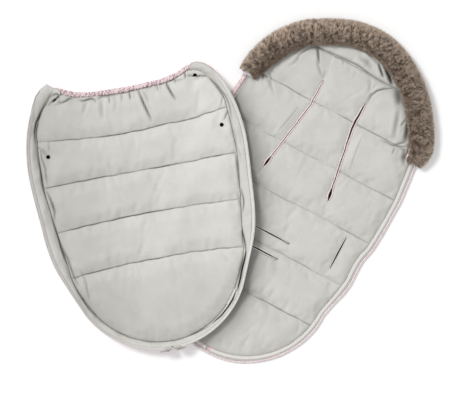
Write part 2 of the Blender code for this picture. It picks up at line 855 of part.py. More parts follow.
def panel_bottom(x, y):
    """The cover's underside: on the floor, over the mat, and held level and pinched up at each stud."""
    nearest = min(stud_places, key=lambda place: math.dist((x, y), place))
    hold = 1 - smooth_step((math.dist((x, y), nearest) - stud_dimple_radius) / stud_dimple_reach)
    edge = 1 - smooth_step(depth_inside(x, y, panel_edge) / edge_reach)
    level = drape(x, y) * (1 - hold) + drape(*nearest) * hold
    return level + max(hold * (stud_cap_height + clearance * 2), edge * clearance)


def panel_shell_top(x, y):
    return panel_bottom(x, y) + cover_shell_thickness


def panel_pad(x, y):
    """The room for wadding between the cover's shell and lining."""
    seam_distance = min(abs(y - cover_seam_y(seam, x)) for seam in cover_seam_ys)
    edge_share = quarter_round(depth_inside(x, y, panel_edge), edge_reach)
    crown = (cover_crown_pad - cover_seam_pad) * quarter_round(seam_distance, quilt_reach)
    full = (cover_seam_pad + crown) * edge_share
    pinch = smooth_step((stud_distance(x, y) - stud_dimple_radius) / stud_dimple_reach)
    return stud_pad + (full - stud_pad) * pinch if full > stud_pad else full


def panel_lining_bottom(x, y):
    return panel_shell_top(x, y) + clearance + panel_pad(x, y)


def panel_lining_top(x, y):
    return panel_lining_bottom(x, y) + cover_lining_thickness


def ring(place, radius, steps):
    """A round hole's outline."""
    turns = [2 * math.pi * i / steps for i in range(steps)]
    return [(place[0] + radius * math.cos(a), place[1] + radius * math.sin(a)) for a in turns]


def cover_inner_half(y):
    """The panel's half width at a place along the cover."""
    if y < crease_end_y:
        rise = cover_foot_radius - y
        return math.sqrt(max(cover_foot_crease_radius ** 2 - rise ** 2, 0.0))
    return curve_value(crease_side, y)


def make_panel_layers(flap_frame, fold_place):
    """The shell, wadding and lining of the cover and of its fold-down flap."""
    stud_hole = stud_shaft_radius + clearance
    holes = [ring(place, stud_hole, stud_hole_steps) for place in stud_places]
    flats = [ring(place, stud_dimple_radius, stud_flat_steps) for place in stud_places]
    folds = []
    for y in (fold_y - half_fold_gap, fold_y + half_fold_gap):
        half = curve_value(crease_side, y)
        folds.append([(x, y) for x in spread(-half, half, seam_steps + 1)])
    seams = []
    for seam in cover_seam_ys:
        half = cover_inner_half(cover_seam_y(seam, cover_half_width)) - crease_inset - 2 * wadding_inset
        seams.append([(x, cover_seam_y(seam, x)) for x in spread(-half, half, seam_steps + 1)])
    low_y = cover_foot_radius - cover_foot_crease_radius
    seam_ys = [seam[0] for seam in cover_seam_ys]
    fill = pattern_rows(low_y, fold_y, seam_ys, cover_inner_half)
    flap_y = fold_y + (top_edge[0][1] - 2 * ruffle_radius - fold_y) / 2
    flap_half = cover_inner_half(flap_y) - row_shoulder
    fill += [(x, flap_y) for x in spread(-flap_half, flap_half, row_fill + 2)]
    fill = [p for p in fill if depth_inside(*p, panel_wadding_edge) > wadding_inset]
    fill = [p for p in fill if stud_distance(*p) > stud_dimple_radius * 2]
    plan = plan_of([panel_edge, panel_wadding_edge] + holes + flats, seams + folds, fill)
    for prefix, keep, frame in (("cover", lambda x, y: y < fold_y - half_fold_gap, cover_frame),
                                ("flap", lambda x, y: y > fold_y + half_fold_gap, flap_frame)):
        made = [layer(prefix + "_outer_shell", plan, panel_edge, holes, keep, panel_bottom, panel_shell_top,
                      shell_look, frame),
                layer(prefix + "_wadding", plan, panel_wadding_edge, flats, keep,
                      lambda x, y: panel_shell_top(x, y) + clearance,
                      lambda x, y: panel_lining_bottom(x, y) - clearance, wadding_look, frame),
                layer(prefix + "_lining", plan, panel_edge, holes, keep, panel_lining_bottom, panel_lining_top,
                      lining_look, frame)]
        if frame is flap_frame:
            for piece in made:
                piece.data.transform(Matrix.Translation(-fold_place))


# The cover's wall and zip edge

def zip_height(x, y):
    """The zip coil's height above the floor."""
    if y <= arc_end_y:
        return foot_zip_height
    run = cover_length - arc_end_y
    share = (y - arc_end_y) / run
    base = foot_zip_height + (side_zip_height - foot_zip_height) * smooth_step(share / foot_blend_share)
    past_fold = smooth_step((y - fold_y) / (cover_length - fold_y))
    base += (top_zip_height - side_zip_height) * past_fold
    window = smooth_step(share / zip_follow_rise_share)
    window *= 1 - smooth_step((share - zip_follow_end_share) / zip_follow_fall_share)
    return base + zip_follow_share * drape(x, y) * window


def tape_slope(y):
    """How steeply the zip tape stands."""
    share = (y - arc_end_y) / (cover_length - arc_end_y)
    return foot_tape_slope + (side_tape_slope - foot_tape_slope) * smooth_step(share / foot_blend_share)


def outward(line, i):
    """The level direction away from the cover at one point of an outline."""
    before = Vector(line[max(i - 1, 0)])
    after = Vector(line[min(i + 1, len(line) - 1)])
    run = (after - before).normalized()
    return Vector((run.y, -run.x))


def zip_rows(line, insets):
    """Rows of points along the zip edge, each at its own distance in from the coil."""
    rows = [[] for _ in insets]
    for i, (x, y) in enumerate(line):
        if y <= arc_end_y:
            away = Vector((x, y - cover_foot_radius)).normalized()
        else:
            away = outward(line, i)
        slope = tape_slope(y)
        height = zip_height(x, y)
        for row, inset in zip(rows, insets):
            level = inset * math.cos(slope)
            row.append((x - away.x * level, y - away.y * level, height - inset * math.sin(slope)))
    return rows


coil_tape_inset = coil_radius + clearance
tape_wall_inset = coil_tape_inset + tape_width
wall_edge_inset = tape_wall_inset + seam_gap


def flip_x(row):
    """A row of points on the other side of the cover, running the other way."""
    return [(-x, y, z) for x, y, z in reversed(row)]


def wall_pieces(name, crease, outer, frame):
    """The wall's outer and lining layers between the crease and the zip tape."""
    edge_row = zip_rows(outer, [wall_edge_inset])[0]
    low = [(x, y, drape(x, y) + wall_foot_rise) for x, y in crease]
    half_gap = Vector((0.0, 0.0, seam_gap / 2))
    upper = [[Vector(p) + half_gap for p in row] for row in (low, edge_row)]
    lower = [[Vector(p) - half_gap for p in row] for row in (low, edge_row)]
    return [strip(name + "_lining", upper, wall_lining_thickness, -1, lining_look, frame),
            strip(name + "_shell", lower, wall_shell_thickness, 1, shell_look, frame)]


def make_wall(flap_frame, fold_place):
    """The lined wall round the cover and its two ends on the flap."""
    wall_pieces("cover_wall", mirrored(main_crease)[:-1] + main_crease, mirrored(main_outer)[:-1] + main_outer,
                cover_frame)
    for word, crease, outer in (("right", flap_crease, flap_outer),
                                ("left", mirrored(flap_crease), mirrored(flap_outer))):
        for piece in wall_pieces("flap_wall_" + word, crease, outer, flap_frame):
            piece.data.transform(Matrix.Translation(-fold_place))


def make_cover_zips(flap_frame, fold_place):
    """The zip tape and coil on each side, and their short ends on the flap."""
    fine_steps = cover_arc_steps * zip_steps_per_arc_step
    start = zip_start_angle + zip_box_length / cover_foot_radius
    tape_line = foot_arc(cover_foot_radius, fine_steps, zip_start_angle) + main_outer[cover_arc_steps + 1:]
    coil_line = foot_arc(cover_foot_radius, fine_steps, start) + main_outer[cover_arc_steps + 1:]
    for word, sign in (("right", 1), ("left", -1)):
        for prefix, tape_path, coil_path, frame in (("cover", tape_line, coil_line, cover_frame),
                                                    ("flap", flap_outer, flap_outer, flap_frame)):
            rows = zip_rows(tape_path, [tape_wall_inset, coil_tape_inset])
            coil = zip_rows(coil_path, [0.0])[0]
            if sign < 0:
                rows = [flip_x(row) for row in rows]
                coil = flip_x(coil)
            tape = strip(prefix + "_zip_tape_" + word, rows, tape_thickness, 0, tape_look, frame)
            cord = tube(prefix + "_zip_coil_" + word, coil, coil_radius, 1, coil_look, frame)
            if frame is flap_frame:
                for piece in (tape, cord):
                    piece.data.transform(Matrix.Translation(-fold_place))


# The sliders, their pulls and the boxes that stop them

def zip_basis(angle):
    """The place and directions of the zip at an angle round the foot: across, along and out of the tape."""
    away = Vector((math.sin(angle), -math.cos(angle), 0.0))
    along = Vector((math.cos(angle), math.sin(angle), 0.0))
    across = away * math.cos(foot_tape_slope) + Vector((0.0, 0.0, math.sin(foot_tape_slope)))
    inner = across.cross(along)
    x, y = arc_point(cover_foot_radius, angle)
    basis = Matrix((across, along, inner)).transposed().to_4x4()
    return Matrix.Translation((x, y, foot_zip_height)) @ basis


chamber_half = coil_radius + slider_play
slider_middle = chamber_half + slider_web / 2
slider_half_width = slider_middle + chamber_half + slider_flange
slider_half_height = chamber_half + slider_plate
slot_half = tape_thickness / 2 + tape_play
pull_axis_height = slider_half_height + (crown_height - crown_bar) / 2


def applied(made, sign, matrix):
    """Bake a piece's cuts, move it to its place, and mirror it for the left side."""
    bpy.context.view_layer.update()
    baked = bpy.data.meshes.new_from_object(made.evaluated_get(bpy.context.evaluated_depsgraph_get()))
    for tool in [child for child in made.children]:
        bpy.data.objects.remove(tool, do_unlink=True)
    made.modifiers.clear()
    baked.transform(matrix)
    if sign < 0:
        baked.transform(Matrix.Diagonal((-1.0, 1.0, 1.0, 1.0)))
        baked.flip_normals()
    made.data = baked
    made.data.set_sharp_from_angle(angle=metal_smooth_angle)
    return made


def make_slider(word, sign):
    """A slider on the zip coil: two plates, a web, flanges, and a crown for its pull."""
    frame = frame_at("zip_slider_frame_" + word, cover_frame, (0.0, cover_foot_radius, 0.0))
    half_length = slider_length / 2
    low = Vector((slider_middle - slider_half_width, -half_length, -slider_half_height))
    high = Vector((slider_middle + slider_half_width, half_length, slider_half_height))
    body = add_object("zip_slider_" + word, box_mesh("zip_slider_" + word, low, high), metal_look, frame)
    beyond = half_length + overrun
    for middle, outer in ((0.0, low.x - overrun), (2 * slider_middle, high.x + overrun)):
        cut_with(body, (middle - chamber_half, -beyond, -chamber_half), (middle + chamber_half, beyond, chamber_half))
        near, far = sorted((middle, outer))
        cut_with(body, (near, -beyond, -slot_half), (far, beyond, slot_half))
    web_low = slider_middle - slider_web
    web_high = slider_middle + slider_web
    cut_with(body, (web_low, -beyond, -chamber_half), (web_high, 0.0, chamber_half))
    crown_low = -slider_half_height - crown_height
    half_crown = crown_length / 2
    cut_with(body, (slider_middle - crown_width / 2, -half_crown, crown_low),
             (slider_middle + crown_width / 2, half_crown, -chamber_half - slider_plate / 2), "UNION")
    window = half_crown - crown_bar
    cut_with(body, (slider_middle - crown_width, -window, crown_low + crown_bar),
             (slider_middle + crown_width, window, -slider_half_height))
    place = Matrix.Translation((0.0, -cover_foot_radius, 0.0)) @ zip_basis(slider_rest_angle)
    applied(body, sign, place)
    return frame


def make_pull(word, sign, slider_frame):
    """A flat pull whose eye bar turns in the slider's crown."""
    basis = zip_basis(slider_rest_angle)
    axis_local = Vector((slider_middle, 0.0, -pull_axis_height))
    axis_place = basis @ axis_local
    frame_place = Vector((sign * axis_place.x, axis_place.y - cover_foot_radius, axis_place.z))
    frame = frame_at("zip_pull_frame_" + word, slider_frame, frame_place)
    half_bar = pull_eye_bar / 2
    half_width = pull_width / 2
    body = add_object("zip_pull_" + word, box_mesh("zip_pull_" + word, (-half_width, -half_bar, -half_bar),
                                                   (half_width, pull_length, half_bar)), metal_look, frame)
    half_eye = pull_eye_width / 2
    cut_with(body, (-half_eye, half_bar, -overrun), (half_eye, half_bar + pull_eye_length, overrun))
    grip_start = half_bar + pull_eye_length + half_eye
    grip_end = pull_length - half_eye
    cut_with(body, (-half_eye / 2, grip_start, -overrun), (half_eye / 2, grip_end, overrun))
    turn_only = basis.to_3x3().to_4x4()
    applied(body, sign, turn_only)


def make_zip_boxes():
    """The retainer box at the foot end of each of the cover's coils."""
    for word, sign in (("right", 1), ("left", -1)):
        half = Vector((zip_box_size / 2, zip_box_length / 2 - clearance, zip_box_size / 2))
        middle = zip_start_angle + zip_box_length / cover_foot_radius / 2
        name = "zip_box_" + word
        made = add_object(name, box_mesh(name, -half, half), metal_look, cover_frame)
        slot = -tape_thickness / 2 - clearance
        cut_with(made, (-half.x - overrun, -half.y - overrun, slot), (-coil_radius, half.y + overrun, -slot))
        applied(made, sign, zip_basis(middle))


# The press studs, the ruffle and the label

def make_stud(name, place, frame, shift):
    """A press stud: a dished socket on the lining, a shaft through the layers and a rim to grip it."""
    seat = panel_lining_top(place[0] + stud_shaft_radius, place[1]) + clearance
    under = panel_bottom(*place) - clearance
    profile = [(stud_radius * r, seat + stud_height * h) for r, h in stud_profile_shares]
    profile += [(stud_shaft_radius, seat), (stud_shaft_radius, under), (0.0, under)]
    bm = bmesh.new()
    verts = [bm.verts.new((r, 0.0, z)) for r, z in profile]
    for a, b in zip(verts, verts[1:]):
        bm.edges.new((a, b))
    bmesh.ops.spin(bm, geom=bm.verts[:] + bm.edges[:], axis=(0.0, 0.0, 1.0), cent=(0.0, 0.0, 0.0),
                   angle=2 * math.pi, steps=stud_steps)
    bmesh.ops.remove_doubles(bm, verts=bm.verts, dist=weld_distance)
    made = add_object(name, mesh_from(bm, name), stud_look, frame)
    made.location = (place[0] - shift.x, place[1] - shift.y, -shift.z)
    return made


def make_stud_cap(name, place, frame, shift):
    """The thin cap that closes a stud's shaft on the outer side."""
    high = panel_bottom(*place) - 2 * clearance
    low = high - stud_cap_height + clearance
    middle = Vector((place[0], place[1], (low + high) / 2)) - shift
    bm = bmesh.new()
    bmesh.ops.create_cone(bm, cap_ends=True, segments=stud_steps, radius1=stud_radius * stud_cap_taper_share,
                          radius2=stud_radius, depth=high - low, matrix=Matrix.Translation(middle))
    return add_object(name, mesh_from(bm, name), stud_look, frame)


def make_ruffle(flap_frame, fold_place):
    """The gathered binding along the top edge, with its elastic inside."""
    level = ruffle_radius * ruffle_flat_share + clearance
    points = []
    shares = []
    for i, (x, y) in enumerate(top_row(top_edge[-1][0], ruffle_radius, ruffle_gathers * 2)):
        points.append(Vector((x, y, (drape(x, y) + level) / ruffle_flat_share)))
        shares.append(1.0 if i % 2 else 1.0 - 2 * ruffle_gather_share)
    squash = Matrix.Diagonal((1.0, 1.0, ruffle_flat_share, 1.0))
    shift = Matrix.Translation(-fold_place)
    for name, radius, resolution, look, wavy, capped in (
            ("flap_ruffle", ruffle_radius, 1, shell_look, shares, False),
            ("flap_elastic", ruffle_elastic_radius, 0, elastic_look, None, True)):
        mesh = tube_mesh(name, points, radius, resolution, wavy, capped)
        mesh.transform(shift @ squash)
        bm = bmesh.new()
        bm.from_mesh(mesh)
        bpy.data.meshes.remove(mesh)
        made = add_object(name, mesh_from(bm, name), look, flap_frame)
        if not capped:
            skin = made.modifiers.new("Cloth", "SOLIDIFY")
            skin.thickness = ruffle_skin
            skin.offset = -1


def make_label():
    """The blank care label that stands in the crease."""
    rows = [[], []]
    back = wall_lining_thickness + label_thickness / 2 + label_gap
    for angle in spread(*label_length_angles, label_steps):
        x0, y0 = arc_point(cover_foot_crease_radius, angle)
        foot = Vector((x0, y0, drape(x0, y0) + wall_foot_rise))
        edge = Vector(zip_rows([arc_point(cover_foot_radius, angle)], [wall_edge_inset])[0][0])
        rise = (edge - foot).normalized()
        along = Vector((math.cos(angle), math.sin(angle), 0.0))
        inward = rise.cross(along)
        for row, height in zip(rows, (label_rise, label_rise + label_height)):
            row.append(foot + rise * height + inward * back)
    strip("care_label", rows, label_thickness, 0, label_look, cover_frame)


make_mat_layers()
make_slit_bindings()
make_mat_rim()
make_fur_trim()

fold_origin = Vector((0.0, fold_y, fold_height))
fold_frame = frame_at("flap_frame", cover_frame, fold_origin)
make_panel_layers(fold_frame, fold_origin)
make_wall(fold_frame, fold_origin)
make_cover_zips(fold_frame, fold_origin)
make_zip_boxes()
for side_word, side_sign in (("right", 1), ("left", -1)):
    carrier = make_slider(side_word, side_sign)
    make_pull(side_word, side_sign, carrier)
    for row_word, row_place, holder, row_shift in (("lower_", lower_stud_place, cover_frame, Vector()),
                                                   ("upper_", upper_stud_place, fold_frame, fold_origin)):
        stud_place = (side_sign * row_place[0], row_place[1])
        make_stud("press_stud_" + row_word + side_word, stud_place, holder, row_shift)
        make_stud_cap("press_stud_cap_" + row_word + side_word, stud_place, holder, row_shift)
make_ruffle(fold_frame, fold_origin)
make_label()
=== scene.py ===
# %% [markdown]
# # A two-part stroller footmuff, taken apart and laid out
#
# The real thing is two quilted pads that zip together into a warm sack for a pushchair. The mat is the
# back part: slits for the harness, and a roll of fur round the hood. The cover is the front part, with a
# wall round it that carries the other half of the zip. Here the cover lies half over the mat, and both
# show their grey fleece lining.
#
# The solid model made before this one fixes every place. This script dresses it: each soft solid is
# replaced by cloth with folds, seams and pile, in the same frame.

import json

import bpy
import numpy as np
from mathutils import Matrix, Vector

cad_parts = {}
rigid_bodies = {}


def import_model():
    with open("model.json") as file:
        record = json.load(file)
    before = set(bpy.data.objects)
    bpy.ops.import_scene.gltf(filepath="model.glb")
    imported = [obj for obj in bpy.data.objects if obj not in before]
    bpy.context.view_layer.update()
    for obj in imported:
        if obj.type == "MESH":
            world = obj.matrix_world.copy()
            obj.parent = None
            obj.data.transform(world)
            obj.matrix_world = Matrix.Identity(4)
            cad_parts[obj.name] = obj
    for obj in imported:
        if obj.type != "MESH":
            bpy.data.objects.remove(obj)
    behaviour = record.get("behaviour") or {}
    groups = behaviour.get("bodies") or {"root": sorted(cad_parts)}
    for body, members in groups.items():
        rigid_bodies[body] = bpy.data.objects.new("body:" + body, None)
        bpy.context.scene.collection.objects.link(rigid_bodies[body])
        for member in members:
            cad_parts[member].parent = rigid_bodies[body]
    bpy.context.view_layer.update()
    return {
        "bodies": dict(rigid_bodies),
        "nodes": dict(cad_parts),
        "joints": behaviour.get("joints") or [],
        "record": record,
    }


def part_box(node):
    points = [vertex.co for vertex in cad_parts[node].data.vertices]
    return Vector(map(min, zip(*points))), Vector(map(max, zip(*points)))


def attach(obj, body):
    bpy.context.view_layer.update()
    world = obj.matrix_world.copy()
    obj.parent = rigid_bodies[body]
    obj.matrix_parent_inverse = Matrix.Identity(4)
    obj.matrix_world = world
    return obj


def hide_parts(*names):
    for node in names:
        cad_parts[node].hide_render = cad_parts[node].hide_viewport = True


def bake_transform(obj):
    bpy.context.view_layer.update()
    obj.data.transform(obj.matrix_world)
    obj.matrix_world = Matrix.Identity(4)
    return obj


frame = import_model()

# %% [markdown]
# ## The camera
#
# The picture is taken from straight above with a long lens, so the camera looks down -Z. The picture's
# upward direction is turned from the mat's own length. One function turns a place in the picture into
# metres, which lets folds be put where they are seen.

# %% The picture's frame, the camera and the names of the two sides
pixel = 0.00262
picture_up = np.array([-0.469, 0.883])
picture_right = np.array([0.883, 0.469])
picture_middle = np.array([-0.142, -0.073])
picture_size = (451, 400)
camera_height = 9.0
two_sides = (("left", -1), ("right", 1))


def from_picture(places):
    """Row frame x and y of places in the picture: the middle, plus right and down steps of one pixel."""
    places = np.asarray(places, float)
    right = (places[..., 0] - picture_size[0] / 2) * pixel
    down = (places[..., 1] - picture_size[1] / 2) * pixel
    return picture_middle + right[..., None] * picture_right - down[..., None] * picture_up


def places_in(row):
    """Row frame places from a row of picture places, each x,y."""
    return from_picture([place.split(",") for place in row.split()])


camera = bpy.data.cameras.new("camera")
camera.sensor_width = 36.0
camera.lens = 36.0 * camera_height / (picture_size[0] * pixel)
camera.clip_end = 20.0
eye = bpy.data.objects.new("camera", camera)
eye.location = (*picture_middle, camera_height)
eye.rotation_euler = (0.0, 0.0, np.arctan2(picture_right[1], picture_right[0]))
bpy.context.scene.collection.objects.link(eye)
bpy.context.scene.camera = eye
print("lens", round(camera.lens, 1))

# %% [markdown]
# ## Tools for shapes
#
# Every shape below is worked out with whole arrays: a line through a few known places, a profile carried
# along a path, or a net of points over a pattern piece. These few functions do the arithmetic.

# %% Curves and distances
def smooth(share):
    """0 below 0, 1 above 1, and 3t^2 - 2t^3 between."""
    share = np.clip(share, 0.0, 1.0)
    return share * share * (3 - 2 * share)


def quarter(share):
    """A quarter circle's rise: the square root of t (2 - t)."""
    share = np.clip(share, 0.0, 1.0)
    return np.sqrt(share * (2 - share))


def through(table, at):
    """A smooth curve through (place, value) pairs: a cubic in each span, whose slope at a pair is the slope
    between its neighbours."""
    place, value = np.array(table, float).T
    index = np.arange(len(place))
    low, high = np.maximum(index - 1, 0), np.minimum(index + 1, len(place) - 1)
    slope = (value[high] - value[low]) / (place[high] - place[low])
    at = np.clip(at, place[0], place[-1])
    i = np.clip(np.searchsorted(place, at, side="right") - 1, 0, len(place) - 2)
    span = place[i + 1] - place[i]
    t = (at - place[i]) / span
    return ((2 * t ** 3 - 3 * t ** 2 + 1) * value[i] + (t ** 3 - 2 * t ** 2 + t) * span * slope[i]
        + (3 * t ** 2 - 2 * t ** 3) * value[i + 1] + (t ** 3 - t ** 2) * span * slope[i + 1])


def unit(vectors):
    """Vectors brought to length 1."""
    return vectors / np.linalg.norm(vectors, axis=-1, keepdims=True)


def along_of(path):
    """The length along a path up to each of its points."""
    return np.concatenate([[0.0], np.cumsum(np.linalg.norm(np.diff(path, axis=0), axis=1))])


def resample(path, count):
    """The same path with points at equal steps of its length."""
    length = along_of(path)
    at = np.linspace(0.0, length[-1], count)
    return np.stack([np.interp(at, length, path[:, k]) for k in range(path.shape[1])], axis=1)


def right_of(path):
    """The level direction square to a path, to its right, at each point."""
    run = unit(np.gradient(path, axis=0))
    return np.stack([run[:, 1], -run[:, 0]], axis=1)


def offset(path, distance):
    """The path moved squarely to its left by a distance."""
    return path - np.asarray(distance)[..., None] * right_of(path)


def mirrored(path):
    """The path on the other side of the centre line, run backwards so that it turns the same way."""
    return (path * np.array([-1.0] + [1.0] * (path.shape[1] - 1)))[::-1]


def both_sides(line):
    """A right-hand line and its mirror as one line from the left end round the foot to the right end."""
    return np.concatenate([mirrored(line), line[1:]])


def nearest(points, path):
    """For each point: distance to a path, the length along it of the nearest place, and that place, which is the
    foot of the square onto each piece of the path, held to its ends."""
    start, run = path[:-1], np.diff(path, axis=0)
    squared = np.maximum((run ** 2).sum(1), 1e-18)
    along = along_of(path)[:-1]
    out = []
    for chunk in np.array_split(points, max(len(points) // 8000, 1)):
        away = chunk[:, None] - start
        t = np.clip((away * run).sum(2) / squared, 0.0, 1.0)
        gap = ((away - t[..., None] * run) ** 2).sum(2)
        least, row = gap.argmin(1), np.arange(len(chunk))
        t = t[row, least]
        out.append(np.column_stack([np.sqrt(gap[row, least]), along[least] + t * np.sqrt(squared[least]),
            start[least] + t[:, None] * run[least]]))
    out = np.concatenate(out)
    return out[:, 0], out[:, 1], out[:, 2:]


def within(points, loop):
    """Whether points lie inside a closed loop: a level ray crosses it an odd number of times."""
    ends = np.roll(loop, -1, axis=0)
    x, y = points[:, :1], points[:, 1:2]
    spans = (loop[:, 1] > y) != (ends[:, 1] > y)
    rise = np.where(ends[:, 1] == loop[:, 1], 1e-12, ends[:, 1] - loop[:, 1])
    crossing = x < (ends[:, 0] - loop[:, 0]) * (y - loop[:, 1]) / rise + loop[:, 0]
    return (spans & crossing).sum(1) % 2 == 1


def depth_in(points, loop):
    """Distance to a closed loop, above zero inside it."""
    shape = points.shape[:-1]
    flat = points.reshape(-1, 2)
    gap = nearest(flat, np.concatenate([loop, loop[:1]]))[0]
    return np.where(within(flat, loop), gap, -gap).reshape(shape)


def uneven(x, y, size, seed):
    """Smooth unevenness from -1 to 1: random values on a lattice of the given size, joined by smooth steps."""
    lattice = np.random.default_rng(seed).uniform(-1.0, 1.0, (97, 97))
    gx, gy = x / size, y / size
    ix, iy = np.floor(gx).astype(int), np.floor(gy).astype(int)
    tx, ty = smooth(gx - ix), smooth(gy - iy)
    read = lambda a, b: lattice[(ix + a) % 97, (iy + b) % 97]
    return ((read(0, 0) * (1 - tx) + read(1, 0) * tx) * (1 - ty)
        + (read(0, 1) * (1 - tx) + read(1, 1) * tx) * ty)


# %% Nets of points and the meshes made of them
def net_faces(rows, columns, wrap_columns=False):
    """Four-cornered faces between neighbouring rows and columns of a net."""
    i = np.arange(rows - 1)[:, None]
    j = np.arange(columns if wrap_columns else columns - 1)[None]
    corner = lambda a, b: (a * columns + b).ravel()
    after = (j + 1) % columns
    return np.stack([corner(i, j), corner(i, after), corner(i + 1, after), corner(i + 1, j)], axis=1)


def ring_faces(rings, sides, first_end, last_end):
    """Faces of a closed ring of points carried along, each end drawn to one more point of a given number."""
    k = np.arange(sides)
    after, last = (k + 1) % sides, (rings - 1) * sides
    return [net_faces(rings, sides, wrap_columns=True), np.stack([np.full(sides, first_end), after, k], axis=1),
        np.stack([np.full(sides, last_end), last + k, last + after], axis=1)]


def border(faces):
    """The edges that only one face has, in that face's direction."""
    edges = np.stack([faces, np.roll(faces, -1, axis=1)], axis=2).reshape(-1, 2)
    key = np.sort(edges, axis=1) @ np.array([1, faces.max() + 1])
    _, first, count = np.unique(key, return_index=True, return_counts=True)
    return edges[first[count == 1]]


def shown(name, points, faces, fields=None):
    """An object at the origin, linked to the scene: points, faces (one array, or several with other corner
    counts) and a value for each point in every field."""
    groups = faces if isinstance(faces, list) else [faces]
    sizes = np.concatenate([np.full(len(group), group.shape[1]) for group in groups])
    mesh = bpy.data.meshes.new(name)
    mesh.vertices.add(len(points))
    mesh.vertices.foreach_set("co", np.asarray(points, np.float32).ravel())
    mesh.loops.add(sizes.sum())
    mesh.loops.foreach_set("vertex_index", np.concatenate([group.ravel() for group in groups]).astype(np.int32))
    mesh.polygons.add(len(sizes))
    mesh.polygons.foreach_set("loop_start", (np.cumsum(sizes) - sizes).astype(np.int32))
    mesh.update(calc_edges=True)
    mesh.shade_smooth()
    for field, values in (fields or {}).items():
        made = mesh.attributes.new(field, "FLOAT", "POINT")
        made.data.foreach_set("value", np.asarray(values, np.float32).ravel())
    made = bpy.data.objects.new(name, mesh)
    bpy.context.scene.collection.objects.link(made)
    return made


def read_all(items, field, kind=np.float32):
    """One property of all points or corners of a mesh, as an array."""
    values = np.empty(len(items) * (3 if field == "co" else 1), kind)
    items.foreach_get(field, values)
    return values


def inside_out(points, faces):
    """Whether the small pyramids from the middle to the faces' triangles add up to less than nothing."""
    total = 0.0
    for group in faces if isinstance(faces, list) else [faces]:
        p = points[group] - points.mean(0)
        total += sum((p[:, 0] * np.cross(p[:, k], p[:, k + 1])).sum() for k in range(1, group.shape[1] - 1))
    return total < 0


def refined(points, faces, fields):
    """Each face split in four and rounded, by Blender's subdivision surface; fields come along."""
    holder = shown("refining", points, faces, fields)
    finer = holder.modifiers.new("Finer", "SUBSURF")
    finer.levels = finer.render_levels = 1
    bpy.context.view_layer.update()
    made = bpy.data.meshes.new_from_object(holder.evaluated_get(bpy.context.evaluated_depsgraph_get()))
    new_points = read_all(made.vertices, "co").reshape(-1, 3).astype(float)
    corners = read_all(made.loops, "vertex_index", np.int32).reshape(-1, 4)
    new_fields = {field: read_all(made.attributes[field].data, "value").astype(float) for field in fields}
    bpy.data.meshes.remove(holder.data)
    bpy.data.meshes.remove(made)
    return new_points, corners, new_fields


def closed_sheet(points, faces, low_points):
    """A sheet with its underside: the same faces turned over on the low points, and a wall at the border."""
    count = len(points)
    edge = border(faces)
    wall = np.stack([edge[:, 1], edge[:, 0], edge[:, 0] + count, edge[:, 1] + count], axis=1)
    return np.concatenate([points, low_points]), np.concatenate([faces, faces[:, ::-1] + count, wall])


def pad_sheet(points, faces, base, least):
    """A pad: its top, held so far at least over its base, and the base as its underside."""
    points[:, 2] = np.maximum(points[:, 2], base + least)
    return closed_sheet(points, faces, np.column_stack([points[:, :2], base]))


def closed_net(upper, lower):
    """The same from two nets of places in the cover's frame."""
    return closed_sheet(from_cover(upper.reshape(-1, 3)), net_faces(*upper.shape[:2]), from_cover(lower.reshape(-1, 3)))


def over_only(values):
    """A field of a closed sheet that is 0 on its underside."""
    return np.concatenate([values, 0 * values])


def put(name, mesh_parts, look, body, replaces=(), fields=None, closed=True):
    """Make one finished piece at the origin. It rides on its body; a piece given "fold" rides on none and stays where
    it is made.
    """
    points, faces = mesh_parts
    if closed and inside_out(points, faces):
        faces = [group[:, ::-1] for group in (faces if isinstance(faces, list) else [faces])]
    made = shown(name, points, faces, fields)
    made.data.materials.append(look)
    if body == "fold":
        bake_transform(made)
    else:
        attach(made, body)
    if replaces:
        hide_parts(*replaces)
    return made


def carried(path, across, rise):
    """A profile carried along a path: point (i, k) is path(i) + side(i) across(i, k) + lift(i) rise(i, k). Side
    is square to the path and level, to its right; lift is square to both. Ends get a middle point each."""
    run = np.gradient(path, axis=0)
    side = unit(np.cross(run, [0.0, 0.0, 1.0]))
    lift = unit(np.cross(side, run))
    points = path[:, None] + side[:, None] * across[..., None] + lift[:, None] * rise[..., None]
    rings, sides = points.shape[:2]
    points = np.concatenate([points.reshape(-1, 3), points[:1].mean(1), points[-1:].mean(1)])
    return points, ring_faces(rings, sides, rings * sides, rings * sides + 1)


def around(sides):
    """Even turns round a circle, starting at 0."""
    return np.arange(sides) * 2 * np.pi / sides


def round_profile(half_width, half_height, sides):
    """An ellipse: (half width cos a, half height sin a)."""
    a = around(sides)
    return half_width * np.cos(a), half_height * np.sin(a)


# %% [markdown]
# ## Blowing the pads up
#
# A quilted pad is two cloths sewn together through wadding. Between the seams the wadding pushes the cloth
# up, and the seams draw it in, which makes the soft creases that run away from a seam. Blender's Cloth does
# this well: hold the seams and the edge, push from below, let the cloth be a little too large, and stop
# after twenty frames.

